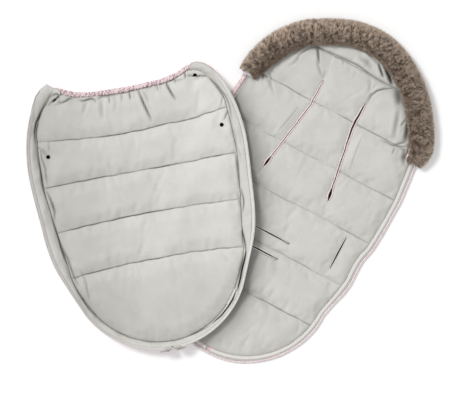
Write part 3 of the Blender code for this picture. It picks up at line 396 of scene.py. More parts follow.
# %% Cloth, held at its seams and pushed from below
def blown(points, faces, held, growth, cap):
    """Where the cloth's points go in twenty frames, no further than the cap from where they start."""
    holder = shown("blown", points, faces)
    holder.vertex_groups.new(name="held").add(np.flatnonzero(held).tolist(), 1.0, "REPLACE")
    cloth = holder.modifiers.new("Cloth", "CLOTH")
    for name, value in (("quality", 5), ("mass", 0.3), ("tension_stiffness", 15.0), ("compression_stiffness", 15.0),
            ("shear_stiffness", 5.0), ("bending_stiffness", 0.5), ("use_pressure", True),
            ("uniform_pressure_force", 4.0), ("shrink_min", -growth), ("vertex_group_mass", "held")):
        setattr(cloth.settings, name, value)
    cloth.settings.effector_weights.gravity = 0.0
    cloth.point_cache.frame_start, cloth.point_cache.frame_end = 1, 20
    for step in range(1, 21):
        bpy.context.scene.frame_set(step)
    made = holder.evaluated_get(bpy.context.evaluated_depsgraph_get()).to_mesh()
    step = read_all(made.vertices, "co").reshape(-1, 3).astype(float) - points
    bpy.data.objects.remove(holder, do_unlink=True)
    bpy.context.scene.frame_set(1)
    size = np.linalg.norm(step, axis=1)
    return points + step * (np.minimum(size, cap) / np.maximum(size, 1e-9))[:, None]


# %% [markdown]
# ## Finishes
#
# Colours are written as the sRGB numbers that a paint shop would use, and one function turns them to the
# linear light that Blender works in. One more function adds a node with its settings and its links.

# %% Colours and nodes
def ink(code):
    """sRGB hex to linear light: s / 12.92 near black, else ((s + 0.055) / 1.055) to the power 2.4."""
    share = np.array([int(code[i:i + 2], 16) for i in (0, 2, 4)]) / 255
    light = np.where(share <= 0.04045, share / 12.92, ((share + 0.055) / 1.055) ** 2.4)
    return (*light.tolist(), 1.0)


def add(look, kind, inputs=None, **settings):
    """Add a node; inputs are numbers or other nodes' outputs, settings are the node's own choices."""
    made = look.node_tree.nodes.new("ShaderNode" + kind)
    for name, value in settings.items():
        setattr(made, name, value)
    for name, value in (inputs or {}).items():
        if isinstance(value, bpy.types.NodeSocket):
            look.node_tree.links.new(value, made.inputs[name])
        else:
            made.inputs[name].default_value = value
    return made


def new_finish(name, roughness, sheen=0.0):
    """An empty finish and its shader, with the numbers that are the same all over."""
    look = bpy.data.materials.new(name)
    look.use_nodes = True
    shader = look.node_tree.nodes["Principled BSDF"]
    for socket, value in (("Roughness", roughness), ("Sheen Weight", sheen),
            ("Specular IOR Level", 0.5 if roughness < 0.6 else 0.12)):
        shader.inputs[socket].default_value = value
    return look, shader


def sewn_finish(look, shader, colour, deep, noise, strength, distance):
    """The end of every cloth's finish: a deep colour where the darkening value is, for quilting lines and for painted
    shade, and bumps of a noise.
    """
    line = add(look, "Attribute", attribute_name="seam")
    # Painted shade: the deep colour mixed in here darkens the quilting lines, and also paints shade into creases, slits
    # and hollows.
    seam_and_shade_colour = add(look, "Mix", {0: line.outputs["Fac"], 6: colour, 7: ink(deep)}, data_type="RGBA")
    bump = add(look, "Bump", {"Height": noise.outputs["Fac"], "Strength": strength, "Distance": distance})
    look.node_tree.links.new(seam_and_shade_colour.outputs[2], shader.inputs["Base Color"])
    look.node_tree.links.new(bump.outputs[0], shader.inputs["Normal"])
    return look


# %% [markdown]
# Brushed polyester fleece is knitted, then teased into a short nap. It has no shine, only a faint bloom
# along edges, and small clumps of nap a few millimetres wide. Along a quilting seam the nap is pressed
# down and the groove lies in shade, so the cloth carries a value that darkens it there: partly pressed nap
# and partly painted shade. The same value paints shade into creases, into slits and beside the cover. A
# second value paints broad light and shade, making the colour up to a fifth lighter or darker.

# %% Fleece lining
def fleece(name, high, low, seam):
    """Nap clumps of 2 mm as bump and tone, broad patches of 40 mm, colour made lighter or darker by a value of
    painted light and shade, and a deep colour where the darkening value is: quilting lines, partly flattened
    fibres and partly painted shade, and painted shade in creases and hollows."""
    look, shader = new_finish(name, 0.95, sheen=0.05)
    place = add(look, "TexCoord").outputs["Object"]
    broad = add(look, "TexNoise", {"Vector": place, "Scale": 1 / 0.040, "Detail": 3.0})
    clumps = add(look, "TexNoise", {"Vector": place, "Scale": 1 / 0.0022, "Detail": 4.0})
    both = add(look, "Math", {0: broad.outputs["Fac"], 1: clumps.outputs["Fac"]}, operation="ADD")
    tone = add(look, "MapRange", {0: both.outputs[0], 1: 0.75, 2: 1.25})
    nap_tone_and_painted_light = add(look, "Mix", {0: tone.outputs[0], 6: ink(low), 7: ink(high)}, data_type="RGBA")
    # Painted light and shade: this value makes the colour up to a fifth lighter or darker over a piece.
    lie = add(look, "Attribute", attribute_name="nap_tone_and_painted_light")
    lit = add(look, "MapRange", {0: lie.outputs["Fac"], 1: -1.0, 2: 1.0, 3: 0.80, 4: 1.20})
    brushed = add(look, "HueSaturation", {"Value": lit.outputs[0], "Color": nap_tone_and_painted_light.outputs[2]})
    return sewn_finish(look, shader, brushed.outputs[0], seam, clumps, 0.35, 0.0008)


# The last colour darkens the quilting lines, partly flattened nap and partly painted shade, and paints shade into
# creases, slits and beside the cover.
fleece_look = fleece("brushed polyester fleece", "D9D8D3", "CFCEC8", "33322F")
# The wall's copy of the fleece is painted two levels lighter as painted light, and its darker last colour paints
# near-black shade in the wall's creases.
wall_fleece_painted_lighter_look = fleece("brushed fleece on the wall", "DBDAD5", "D1D0CA", "262523")
print("fleece:", fleece_look.name)

# %% [markdown]
# The outer cloth is a close woven polyester, pale pink, printed with a small dark red hatch. It shows at
# the piping, round the harness slits, in the ruffle and on the underside. The hatch is short strokes about
# 4.5 mm apart, closer on the binding and wider on the ruffle; two sets of slanted bands, broken up by noise,
# make it.

# %% Printed woven shell cloth
def printed_cloth(name, ground, shade, stroke, amount, spacing, deep):
    """Thread bump of 0.6 mm, strokes at a spacing in metres in two slants, broken by noise, and a deep colour
    where the darkening value is, painted shade in valleys and gaps."""
    look, shader = new_finish(name, 0.75)
    place = add(look, "TexCoord").outputs["Object"]
    marks = []
    for turn in (0.6, -0.9):
        turned = add(look, "Mapping", {"Vector": place, "Rotation": (0.3, 0.2, turn)})
        bands = add(look, "TexWave", {"Vector": turned.outputs[0], "Scale": 1 / spacing / 3,
            "Distortion": 4.0, "Detail": 2.0, "Detail Scale": 1.5})
        broken = add(look, "TexNoise", {"Vector": turned.outputs[0], "Scale": 1 / (spacing * 1.6)})
        both = add(look, "Math", {0: bands.outputs["Fac"], 1: broken.outputs["Fac"]}, operation="MULTIPLY")
        marks.append(add(look, "MapRange", {0: both.outputs[0], 1: 0.42, 2: 0.55}).outputs[0])
    hatch = add(look, "Math", {0: marks[0], 1: marks[1]}, operation="MAXIMUM")
    share = add(look, "Math", {0: hatch.outputs[0], 1: amount}, operation="MULTIPLY")
    patches = add(look, "TexNoise", {"Vector": place, "Scale": 1 / 0.03})
    plain = add(look, "Mix", {0: patches.outputs["Fac"], 6: ink(ground), 7: ink(shade)}, data_type="RGBA")
    printed = add(look, "Mix", {0: share.outputs[0], 6: plain.outputs[2], 7: ink(stroke)}, data_type="RGBA")
    threads = add(look, "TexNoise", {"Vector": place, "Scale": 1 / 0.0006, "Detail": 1.0})
    return sewn_finish(look, shader, printed.outputs[2], deep, threads, 0.3, 0.0003)


# The last colour of each is painted shade where the darkening value is: inside the harness slits for the binding, in
# the valleys of the gathers for the ruffle.
shell_look = printed_cloth("printed woven polyester shell", "F3DADE", "EACAD0", "A8485A", 0.70, 0.0045, "6A3A42")
binding_look = printed_cloth("printed binding tape", "FBF2F2", "F2E0E3", "B86F7B", 0.40, 0.0036, "240810")
ruffle_look = printed_cloth("gathered printed cloth", "F8E8EA", "F0D8DC", "7E3D48", 0.62, 0.0062, "5A2A33")
print("shell:", shell_look.name)

# %% [markdown]
# Zip tape is a tightly woven polyester ribbon, a warm off-white. The coil is nylon monofilament and the
# sliders are lacquered grey. The studs are matt black moulded acetal, and the care label is a plain white
# satin ribbon with nothing on it.

# %% Plainer finishes
def plain_finish(name, high, low, roughness, grain, bump_depth, sheen=0.0):
    """Two tones by noise of one grain size, with the same noise as bump, grey where the seam value is."""
    look, shader = new_finish(name, roughness, sheen)
    place = add(look, "TexCoord").outputs["Object"]
    noise = add(look, "TexNoise", {"Vector": place, "Scale": 1 / grain, "Detail": 3.0})
    tone = add(look, "MapRange", {0: noise.outputs["Fac"], 1: 0.35, 2: 0.65})
    colour = add(look, "Mix", {0: tone.outputs[0], 6: ink(low), 7: ink(high)}, data_type="RGBA")
    return sewn_finish(look, shader, colour.outputs[2], "5E5A5C", noise, 0.5, bump_depth)


tape_look = plain_finish("woven zip tape", "EEEBE7", "E0DDD9", 0.85, 0.0012, 0.0002, sheen=0.1)
coil_look = plain_finish("nylon zip coil", "E2DFDD", "D2CFCD", 0.45, 0.0010, 0.0001)
thread_look = plain_finish("grey sewing thread", "7C7B76", "6A6965", 0.8, 0.0008, 0.0001)
dark_thread_look = plain_finish("dark grey sewing thread", "4A4946", "3C3B38", 0.8, 0.0008, 0.0001)
stud_look = plain_finish("black acetal press stud", "060606", "030303", 0.70, 0.0020, 0.00002)
label_look = plain_finish("white satin care label", "E2DFDB", "D6D3CF", 0.6, 0.0015, 0.0001, sheen=0.1)
metal_look = plain_finish("grey lacquered zip hardware", "C9C5C1", "B8B4B0", 0.40, 0.0015, 0.00005)
backing_look = plain_finish("knitted fur backing", "7A6858", "65554A", 0.95, 0.0020, 0.0004)
print("plain finishes made")


# %% Faux fur
def fur_finish(name):
    """Acrylic pile: dark at the root, taupe along the shaft and pale at the tip, and each lock its own tone."""
    look, shader = new_finish(name, 0.7, sheen=0.1)
    length = add(look, "Attribute", attribute_name="along").outputs["Fac"]
    lock = add(look, "Attribute", attribute_name="lock").outputs["Fac"]
    shaft = add(look, "Mix", {0: lock, 6: ink("7B6757"), 7: ink("E6CFBA")}, data_type="RGBA")
    low = add(look, "MapRange", {0: length, 1: 0.0, 2: 0.50})
    rooted = add(look, "Mix", {0: low.outputs[0], 6: ink("463930"), 7: shaft.outputs[2]}, data_type="RGBA")
    pale = add(look, "Mix", {0: lock, 6: ink("B39E8B"), 7: ink("FFF0E0")}, data_type="RGBA")
    high = add(look, "MapRange", {0: length, 1: 0.50, 2: 1.0})
    tipped = add(look, "Mix", {0: high.outputs[0], 6: rooted.outputs[2], 7: pale.outputs[2]}, data_type="RGBA")
    look.node_tree.links.new(tipped.outputs[2], shader.inputs["Base Color"])
    return look


fur_look = fur_finish("taupe acrylic pile")
print("fur:", fur_look.name)

# %% [markdown]
# ## The mat's pattern
#
# The mat is cut like a long shield: a half circle at the foot, sides that swell a little at the hip, and a
# half circle at the hood. Every layer is that outline, moved inwards. Six straight seams cross it. Four
# slits let the harness through and two more stand at the hip.

# %% The mat's outline
mat_origin = np.array([0.0, -0.450])
foot_radius = 0.230
half_width = 0.26703
hood_y = 0.680
shoulder_y = 0.69265
hood_radius = 0.2210
side_table = ((0.0, 0.0), (0.22, 0.56), (0.37, 0.58), (0.48, 0.86), (0.76, 1.0), (0.90, 0.87), (1.0, 0.73))
mat_seams = np.array([0.281, 0.4735, 0.666, 0.8575, 1.0485, 1.241]) * hood_y


def mat_half(y):
    """Half the mat's width between its foot and its hood."""
    return foot_radius + (half_width - foot_radius) * through(side_table, (y - foot_radius) / (hood_y - foot_radius))


def mat_rim(inset):
    """The mat's edge from the left shoulder round the foot to the right one, moved inwards."""
    a = np.linspace(0.0, np.pi / 2, 60)
    y = np.linspace(foot_radius, shoulder_y, 90)[1:]
    right = np.concatenate([np.stack([foot_radius * np.sin(a), foot_radius * (1 - np.cos(a))], axis=1),
        np.stack([mat_half(y), y], axis=1)])
    return offset(both_sides(right), inset)


def mat_loop(inset, radius):
    """The whole outline: the rim and the hood's arc of a radius."""
    start = np.arcsin((shoulder_y - hood_y) / radius)
    a = np.linspace(start, np.pi - start, 90)
    return np.concatenate([mat_rim(inset), np.stack([radius * np.cos(a), hood_y + radius * np.sin(a)], axis=1)])


outer_loop = mat_loop(0.0, 0.2475)
shell_loop = mat_loop(0.0051, hood_radius)
lining_inset = 0.0178
lining_loop = mat_loop(lining_inset, hood_radius)


def mat_shell_top(points):
    """The shell's upper side: 2 mm above the floor, and 3 mm more towards the rim."""
    return 0.003 * (1 - smooth((depth_in(points, outer_loop) - 0.0051) / 0.045)) + 0.002


print("mat outline points:", len(lining_loop))


# %% [markdown]
# ## A net that fits the pattern
#
# A square net is laid over the pattern. Its lines are placed so that each seam and each slit has lines of
# its own, cells outside the outline are dropped, and the edge points are pulled onto the outline. That
# keeps the net even, so that the cloth blows up evenly.

# %% The fitted net
def net_lines(marks, step):
    """Every mark, and even steps no wider than the step between them."""
    marks = np.sort(np.asarray(marks, float))
    parts = [np.linspace(a, b, max(int(np.ceil((b - a) / step)), 1), endpoint=False) for a, b in zip(marks, marks[1:])]
    return np.concatenate(parts + [marks[-1:]])


def fitted(x, y, gone, loop, ease=0.022):
    """Keep the cells inside a loop and not gone, drop unused points, pull the edge onto the loop, and even out
    the net near it. Gives places, faces, the kept points' numbers and which are on a border."""
    places = np.stack([x.ravel(), y.ravel()], axis=1)
    faces = net_faces(*x.shape)
    middles = places[faces].mean(1)
    faces = faces[within(middles, loop) & ~gone.ravel()]
    used, faces = np.unique(faces, return_inverse=True)
    faces = faces.reshape(-1, 4)
    places = places[used]
    ring = np.concatenate([loop, loop[:1]])
    edges = np.stack([faces, np.roll(faces, -1, axis=1)], axis=2).reshape(-1, 2)
    on_border = np.zeros(len(places), bool)
    on_border[border(faces).ravel()] = True
    gap, _, foot = nearest(places, ring)
    pulled = on_border & (gap < 0.009)
    places[pulled] = foot[pulled]
    near = np.where(on_border, 0.0, np.clip(1 - gap / ease, 0.0, 1.0))[:, None]
    count = np.bincount(edges.ravel(), minlength=len(places))[:, None]
    for _ in range(12):
        total = np.stack([np.bincount(edges[:, 0], places[edges[:, 1], k], len(places))
            + np.bincount(edges[:, 1], places[edges[:, 0], k], len(places)) for k in (0, 1)], axis=1)
        places += near * 0.6 * (total / count - places)
    return places, faces, used, on_border


# %% The slits' places and the mat's warped net
harness_column = 0.0790
waist_column = 0.18305
slit_line = 0.0005
harness_ends = (0.498, 0.774)
waist_ends = (0.3461, 0.4400)
crotch_slits = ((0.30396, 0.0490), (0.35394, 0.0550))
harness_table = np.array([(0.20, 0.0790), (0.498, 0.0961), (0.6995, 0.0621), (0.774, 0.0621), (0.95, 0.0760)])


def ends_in(at, low, high, run):
    """1 between two ends, falling to 0 at them along a quarter circle of the given run."""
    return quarter(np.minimum(at - low, high - at) / run) * ((at > low) & (at < high))


def harness_gap(y, side):
    """Half the gap between a harness slit's lips: nearly shut, an open lens 36 mm long at the lower end, and
    the right slit gapes a little along its upper part."""
    lens = (y - harness_ends[0] - 0.001) / 0.036
    upper = (y - 0.655) / 0.118
    return (0.0004 + 0.0004 * (side > 0) + 0.0025 * np.sin(np.pi * np.clip(lens, 0.0, 1.0)) ** 1.1
        + (0.0001 + 0.0011 * (side > 0)) * np.sin(np.pi * np.clip(upper, 0.0, 1.0)))


def flat_slit_gap(share):
    """Half the gap of a plain slit at a share of its length: a slender lens."""
    return 0.0004 + 0.0012 * np.sin(np.pi * np.clip(share, 0.0, 1.0)) ** 0.9


harness_lip = 0.0034
turned_edge = 0.0022
seam_half = 0.0016
slit_spread = 0.028


def waver(x, y, seed):
    """How far a hand-guided seam strays from its chalk line: 1.4 mm over 80 mm and 1.1 mm over 24 mm."""
    return 0.0014 * uneven(x, y, 0.08, seed) + 0.0011 * uneven(x, y, 0.024, seed + 1)


def puckers(along, gap, seed):
    """Small tucks that the thread draws in beside a seam: up to 1.8 mm deep, 9 mm apart, gone 14 mm away."""
    drawn = np.clip(uneven(along, 0 * along + seed, 0.0085, seed) + 0.15, 0.0, 1.0)
    return 0.0018 * drawn * (0.55 + 0.45 * uneven(along, 0 * along, 0.05, seed + 1)) * np.exp(-(gap / 0.010) ** 2)


def mat_net(step, edge_loop):
    """The mat's net: straight lines, warped so that slit lines follow the slits and part round their lips."""
    crotch_marks = [y + side * slit_line for y, _ in crotch_slits for side in (-1, 1)]
    seam_marks = [y + side * seam_half for y in mat_seams for side in (-1, 0, 1)]
    rows = net_lines([-0.006, 0.908, *harness_ends, *waist_ends, *crotch_marks, *seam_marks], step)
    columns = [0.0] + [side * (column + edge * slit_line) for side in (-1, 1)
        for column in (harness_column, waist_column) for edge in (-1, 1)]
    columns += [side * half for side in (-1, 1) for _, half in crotch_slits]
    columns = net_lines([-0.266, 0.266, *columns], step)
    u, v = np.meshgrid(columns, rows)
    size, side = np.abs(u), np.sign(u)
    tent = np.interp(size, [0.0, harness_column - slit_line, harness_column + slit_line, waist_column - 0.004],
        [0.0, 1.0, 1.0, 0.0])
    x = u + side * tent * (np.interp(v, *harness_table.T) - harness_column)
    middle_u, middle_v = ((net[1:, 1:] + net[:-1, :-1]) / 2 for net in (u, v))
    gone = np.zeros(middle_u.shape, bool)
    hip_lip = turned_edge + flat_slit_gap((v - waist_ends[0]) / (waist_ends[1] - waist_ends[0]))
    for column, lip, ends, run in ((harness_column, harness_lip + harness_gap(v, side), harness_ends, 0.008),
            (waist_column, hip_lip, waist_ends, 0.006)):
        spread = np.clip(1 - (np.abs(size - column) - slit_line) / slit_spread, 0.0, 1.0)
        x += side * np.sign(size - column) * (lip * ends_in(v, *ends, run)) * spread
        gone |= (np.abs(np.abs(middle_u) - column) < slit_line) & (middle_v > ends[0]) & (middle_v < ends[1])
    y = v.copy()
    for slit_y, half in crotch_slits:
        lip = (turned_edge + flat_slit_gap((u / half + 1) / 2)) * ends_in(u, -half, half, 0.006)
        away = np.abs(v - slit_y) - slit_line
        y += np.sign(v - slit_y) * lip * np.clip(1 - away / 0.015, 0.0, 1.0)
        gone |= (np.abs(middle_v - slit_y) < slit_line) & (np.abs(middle_u) < half)
    y += waver(u, v, 11)
    places, faces, used, on_border = fitted(x, y, gone, edge_loop)
    return places, faces, u.ravel()[used], v.ravel()[used], on_border


# %% [markdown]
# ## The mat's lining
#
# The lining is fleece over wadding. Its resting height is worked out first: low at the edge and the seams,
# a soft crown between them. Then the cloth is blown up, with its seams, edge and slit edges held. Creases
# seen in the picture are pressed in afterwards, with painted shade along them, and beside the cover the
# lining is darkened by a painted shadow of its wall.

# %% Folds put in after blowing
def press_folds(points, fields, rows):
    """Press creases into a sheet by a table. A row is depth, width, ridge, shade and line, lengths in mm, and
    after two spaces the crease's places x,y in the picture. The height falls by depth e^-(d/width)^2 and rises
    beside it by ridge, fading towards both ends; the darkening value, at most 1, paints a dark line along it,
    which is painted shade in a crease."""
    for row in rows.strip().splitlines():
        numbers, places = row.split("  ")
        depth, width, ridge, shade, line = np.array(numbers.split(), float) / (1000, 1000, 1000, 1, 1000)
        path = resample(places_in(places), 60)
        gap, along, _ = nearest(points[:, :2], path)
        fade = np.sin(np.pi * np.clip(along / along_of(path)[-1], 0.02, 0.98)) ** 0.6
        beside = np.exp(-((gap - 1.6 * width) / width) ** 2)
        points[:, 2] += fade * (ridge * beside - depth * np.exp(-(gap / width) ** 2))
        fields["seam"] = np.maximum(fields["seam"], np.minimum(shade * fade * np.exp(-(gap / line) ** 2), 1.0))


def stray(points, seed, low, high, headings, lengths, depths, frame=lambda place: place):
    """Push ninety soft folds into a sheet at random places between two corners of a frame: the cloth falls by
    depth e^-(along/length)^2 e^-(across/width)^2."""
    random = np.random.default_rng(seed)
    for _ in range(90):
        gap = points[:, :2] - frame(random.uniform(low, high))
        heading = np.radians(random.uniform(*headings))
        long, wide, deep = (random.uniform(*ends) for ends in (lengths, (0.004, 0.007), depths))
        run = gap @ np.array([np.cos(heading), np.sin(heading)])
        off = gap @ np.array([-np.sin(heading), np.cos(heading)])
        points[:, 2] -= deep * np.exp(-(run / long) ** 2 - (off / wide) ** 2)


pressed_pad = 0.92
lining_gap = 0.0003
sewn_half = 0.0003


def mat_seam_gap(v):
    """Distance from places along the mat's net to the nearest seam."""
    return np.abs(v[:, None] - mat_seams).min(1)


def pad_room(seam_gap, depth, low, crown):
    """Room for wadding: low at a seam, a crown more from 36 mm off it, drawn in to nothing at the edge."""
    return (low + crown * quarter(seam_gap / 0.036)) * quarter(depth / 0.035)


def lining_height(places, v):
    """The lining's resting height: the shell, 0.3 mm, the pad pressed to 92 percent, and the cloth."""
    room = pad_room(mat_seam_gap(v), depth_in(places, lining_loop), 0.005, 0.006)
    return mat_shell_top(places) + lining_gap + room * pressed_pad + 0.0025


places, faces, u, v, edge = mat_net(0.0060, lining_loop)
seam_gap = mat_seam_gap(v)
base = mat_shell_top(places) + lining_gap
on_seam = seam_gap < sewn_half
points = np.column_stack([places + mat_origin, lining_height(places, v) - 0.0016 * on_seam])
# Quilting lines: darker along the seams, partly flattened nap and partly painted shade in the groove.
pressed_nap_and_shade = np.clip(0.34 + 0.34 * uneven(u, v, 0.06, 12) + 0.12 * uneven(u, v, 0.008, 13), 0.08, 0.8)
lining_fields = {"seam": pressed_nap_and_shade * on_seam, "base": base, "gap": seam_gap, "along": u}
swollen = blown(points, faces, edge | on_seam, growth=0.018, cap=0.006)
points, faces, lining_fields = refined(swollen, faces, lining_fields)
points[:, 2] -= puckers(lining_fields["along"] + 3 * points[:, 1], lining_fields["gap"], 61)
print("mat lining points:", len(points), "height", points[:, 2].max().round(4))

# %% [markdown]
# ## Where the cover lies
#
# The cover has its own frame, turned 38.5 degrees from the mat's. Where it crosses the mat it lies on it,
# so its height follows how deep a point is inside the mat's outline.

# %% The cover's frame and the drape over the mat
cover_origin = np.array([-0.081, -0.479])
cover_turn = np.radians(38.5)
cover_axes = np.array([[np.cos(cover_turn), np.sin(cover_turn)], [-np.sin(cover_turn), np.cos(cover_turn)]])
cover_foot_radius = 0.236
cover_crease_radius = 0.2175
cover_foot_angle = np.radians(62.0)
cover_half = 0.288
cover_length = 0.734
fold_y = 0.8488 * cover_length
outer_end_y = cover_foot_radius * (1 - np.cos(cover_foot_angle))
top_table = [(b * cover_half, a * cover_length) for b, a in
    ((0.0, 0.945), (0.30, 0.950), (0.44, 0.959), (0.52, 0.970), (0.59, 0.984))]
arc_points, side_points = 70, 149


def from_cover(places):
    """Row frame places of places in the cover's frame; any third coordinate stays."""
    places = np.asarray(places, float)
    flat = places[..., :2] @ cover_axes + cover_origin
    return np.concatenate([flat, places[..., 2:]], axis=-1)


def to_cover(places):
    """The cover's own coordinates of row frame places."""
    return (np.asarray(places)[..., :2] - cover_origin) @ cover_axes.T


def drape(places):
    """How far the mat lifts the cover: 18 mm well inside the mat's outline, nothing 70 mm outside it."""
    depth = depth_in(from_cover(places) - mat_origin, outer_loop)
    return 0.018 * smooth((depth + 0.070) / 0.100)


def cover_line(radius, shares):
    """The right half of the crease or of the outer edge, point for point: round the foot by a radius, then from
    the arc's end (0) over the fold (1) to the top corner (2), through shares of the cover's length and half width.
    Gives the line and its table of places."""
    a = np.linspace(0.0, cover_foot_angle, arc_points)
    arc = np.stack([radius * np.sin(a), cover_foot_radius - radius * np.cos(a)], axis=1)
    table = [(arc[-1, 1], arc[-1, 0])] + [(along * cover_length, across * cover_half) for along, across in shares]
    q = np.linspace(0.0, 2.0, side_points + 1)[1:]
    y = np.interp(q, [0, 1, 2], [arc[-1, 1], fold_y, table[-1][0]])
    return np.concatenate([arc, np.stack([through(table, y), y], axis=1)]), table


crease_line, crease_table = cover_line(cover_crease_radius, ((0.275, 0.780), (0.357, 0.808), (0.429, 0.832),
    (0.518, 0.862), (0.628, 0.893), (0.732, 0.889), (0.803, 0.880), (0.857, 0.862), (0.928, 0.764), (0.974, 0.648)))
outer_line, _ = cover_line(cover_foot_radius, ((0.275, 0.838), (0.357, 0.918), (0.429, 0.955), (0.518, 0.974),
    (0.68, 1.0), (0.768, 0.986), (0.857, 0.936), (0.936, 0.846), (0.982, 0.735), (1.0, 0.673)))
cover_loop = np.concatenate([outer_line, mirrored(outer_line)])
print("cover lines:", len(crease_line))

# %% Finish the mat's lining
lining_most, under_cover, press_run = 0.0225, 0.0062, 0.02
beside = -depth_in(to_cover(points), cover_loop)
points[:, 2] = np.minimum(points[:, 2], lining_most - under_cover * smooth(0.5 - beside / press_run))
# Most rows press a crease and paint shade along it. The three wide soft rows beside the cover's wall paint its shadow.
# The faint lines beside the harness slits are stitching, and the last three rows are bar tacks.
press_folds(points, lining_fields, """
5 3.5 2 1 2.4  317.3,45 318,52 318.9,65
3 3.5 1.2 .5 1.8  316,60 319,69 322.5,78
2 3 1 .4 1.6  326,70 324,75 322.5,80
4 3.6 2.2 .8 2.2  366,104 368,101.5 371,95.5 377,91 384,89 396,88
3 4.5 1.6 .75 2  312,47.5 321,49.5 329,52 343,58.5 357,65 369,73.8 381,81.5 397,88.5
3 4 1.6 .5 2  293,64 300,54 306,50 316,46
2.4 4 1.2 .35 1.8  288,66 296,62 300,56
5 5 3 1.7 4.6  382,60 386,68 389,76 392,86
4 3.4 2.4 1.5 2.4  378,62 380,69 383.3,78
3 3.4 1.4 .65 2.2  356,47.5 367,52 371,56.5 378,64
3.6 7.5 1.6 .35 6  360,58 367,62 372,70
4.5 9 2 .75 9  399.5,88 398.5,96 399.5,106
4 6 1 .55 6  402,91 404,98 406,108
3.6 6 2 .4 4.5  398.5,110 397,120 393.5,139
4 6 2 1 6  409.5,116 408,127 405,142
3 3 1.4 .6 2  407,119 403.5,122.5 400,127
3 3.2 1.4 .7 2  408,141 402,143 395,145
2.6 3.4 1.2 .6 2  408,147 400,146.5 392,145 381,139.5
2 3.2 1 .4 1.8  395,147 392.3,154.5
2.6 5 1 .6 4.5  405,149 403.5,157 403.5,166
3.4 3.2 1.6 .9 2.2  262.3,66 262.6,72 262.8,80
2.6 4 1.2 .4 1.8  262.8,73.8 270,82 274,95
2.2 3.4 1.2 .5 1.8  269,73 271,78 272,82
1.8 3.2 .8 .35 1.6  343,59 343.4,65
2.2 4.5 1 .25 2.4  370.5,78 370,86 369,92
1 2.6 .6 .3 1.6  297.5,107.5 288.3,119.7 277,132.5
1 2.6 .6 .32 1.6  361.5,137 354.5,155 349,171
3 12 1 .5 15  256,188 259,203 262,218 264,236
1.6 9 .6 .14 11  272,254 275,264 275,276
1.6 9 .6 .14 11  252,292 262,298 268,308
1.2 2.6 .4 .6 2.6  283,241 289,243.4
1.2 2.6 .4 .6 2.6  271.5,257 278,259.3
1.2 2.6 .4 .5 2  275,256.5 275,262
""")
# Painted shadow of the cover's wall: the lining is darkened along the cover's edge, fading 38 mm outside it and 20 mm
# under it, in uneven patches.
pressed_nap_and_shade = 0.60 * np.exp(-(np.maximum(beside, 0.0) / 0.038) ** 2 - (np.minimum(beside, 0.0) / 0.020) ** 2)
pressed_nap_and_shade *= 0.85 + 0.30 * uneven(points[:, 0], points[:, 1], 0.09, 72)
lining_fields["seam"] = np.maximum(lining_fields["seam"], np.clip(pressed_nap_and_shade, 0.0, 0.7))
stray(points, 71, [-0.20, -0.36], [0.24, 0.36], (50, 130), (0.012, 0.030), (0.0006, 0.0014))
parts = pad_sheet(points, faces, lining_fields["base"], 0.0015)
mat_lining = put("mat_lining_pad", parts, fleece_look, "mat", ("mat_lining", "mat_wadding", "hood_elastic"),
    {"seam": over_only(lining_fields["seam"])})
lining_surface = points
print("mat lining triangles:", 2 * len(mat_lining.data.polygons))

# %% [markdown]
# ## The mat's shell and rim
#
# The shell is one flat sheet of printed cloth under everything, with the same slits. Round its edge runs a
# piping cord, then the zip's coil and the woven tape that carries it. A strip of the printed cloth shows
# left of the fur.

# %% Shell sheet
places, faces, *_ = mat_net(0.0085, shell_loop)
height = mat_shell_top(places)
top = np.column_stack([places + mat_origin, height])
shell_thick = 0.0019
low = np.column_stack([places + mat_origin, np.maximum(height - shell_thick, 0.0)])
mat_shell = put("mat_shell_cloth", closed_sheet(top, faces, low), shell_look, "mat", ("mat_outer_shell",))
print("mat shell triangles:", 2 * len(mat_shell.data.polygons))


# %% Piping, tape and coil round the mat
def level_path(path, height):
    """A path in a plane with a height for each point."""
    return np.column_stack([path, np.broadcast_to(height, len(path))])


piping_radius = 0.0024
piping_points = 520
still = np.zeros(piping_points)
piping_path = resample(mat_rim(piping_radius), piping_points)
piping_path = offset(piping_path, 0.0016 * uneven(np.linspace(0, 22, piping_points), still, 1.0, 5))
piping_height = 0.0054 + 0.0006 * uneven(np.arange(piping_points) / 9, still, 1.0, 6)
parts = carried(level_path(piping_path + mat_origin, piping_height),
    *round_profile(piping_radius, piping_radius, 10))
put("mat_piping_cord", parts, binding_look, "mat", ("mat_piping",))


def coil_profile(count):
    """A coil seen as a ribbed cord: the radius swells at each turn, four points to a turn."""
    across, rise = round_profile(0.0013, 0.0013, 6)
    swell = (0.80 + 0.20 * np.cos(np.arange(count) * np.pi / 2))[:, None]
    return swell * across, swell * rise


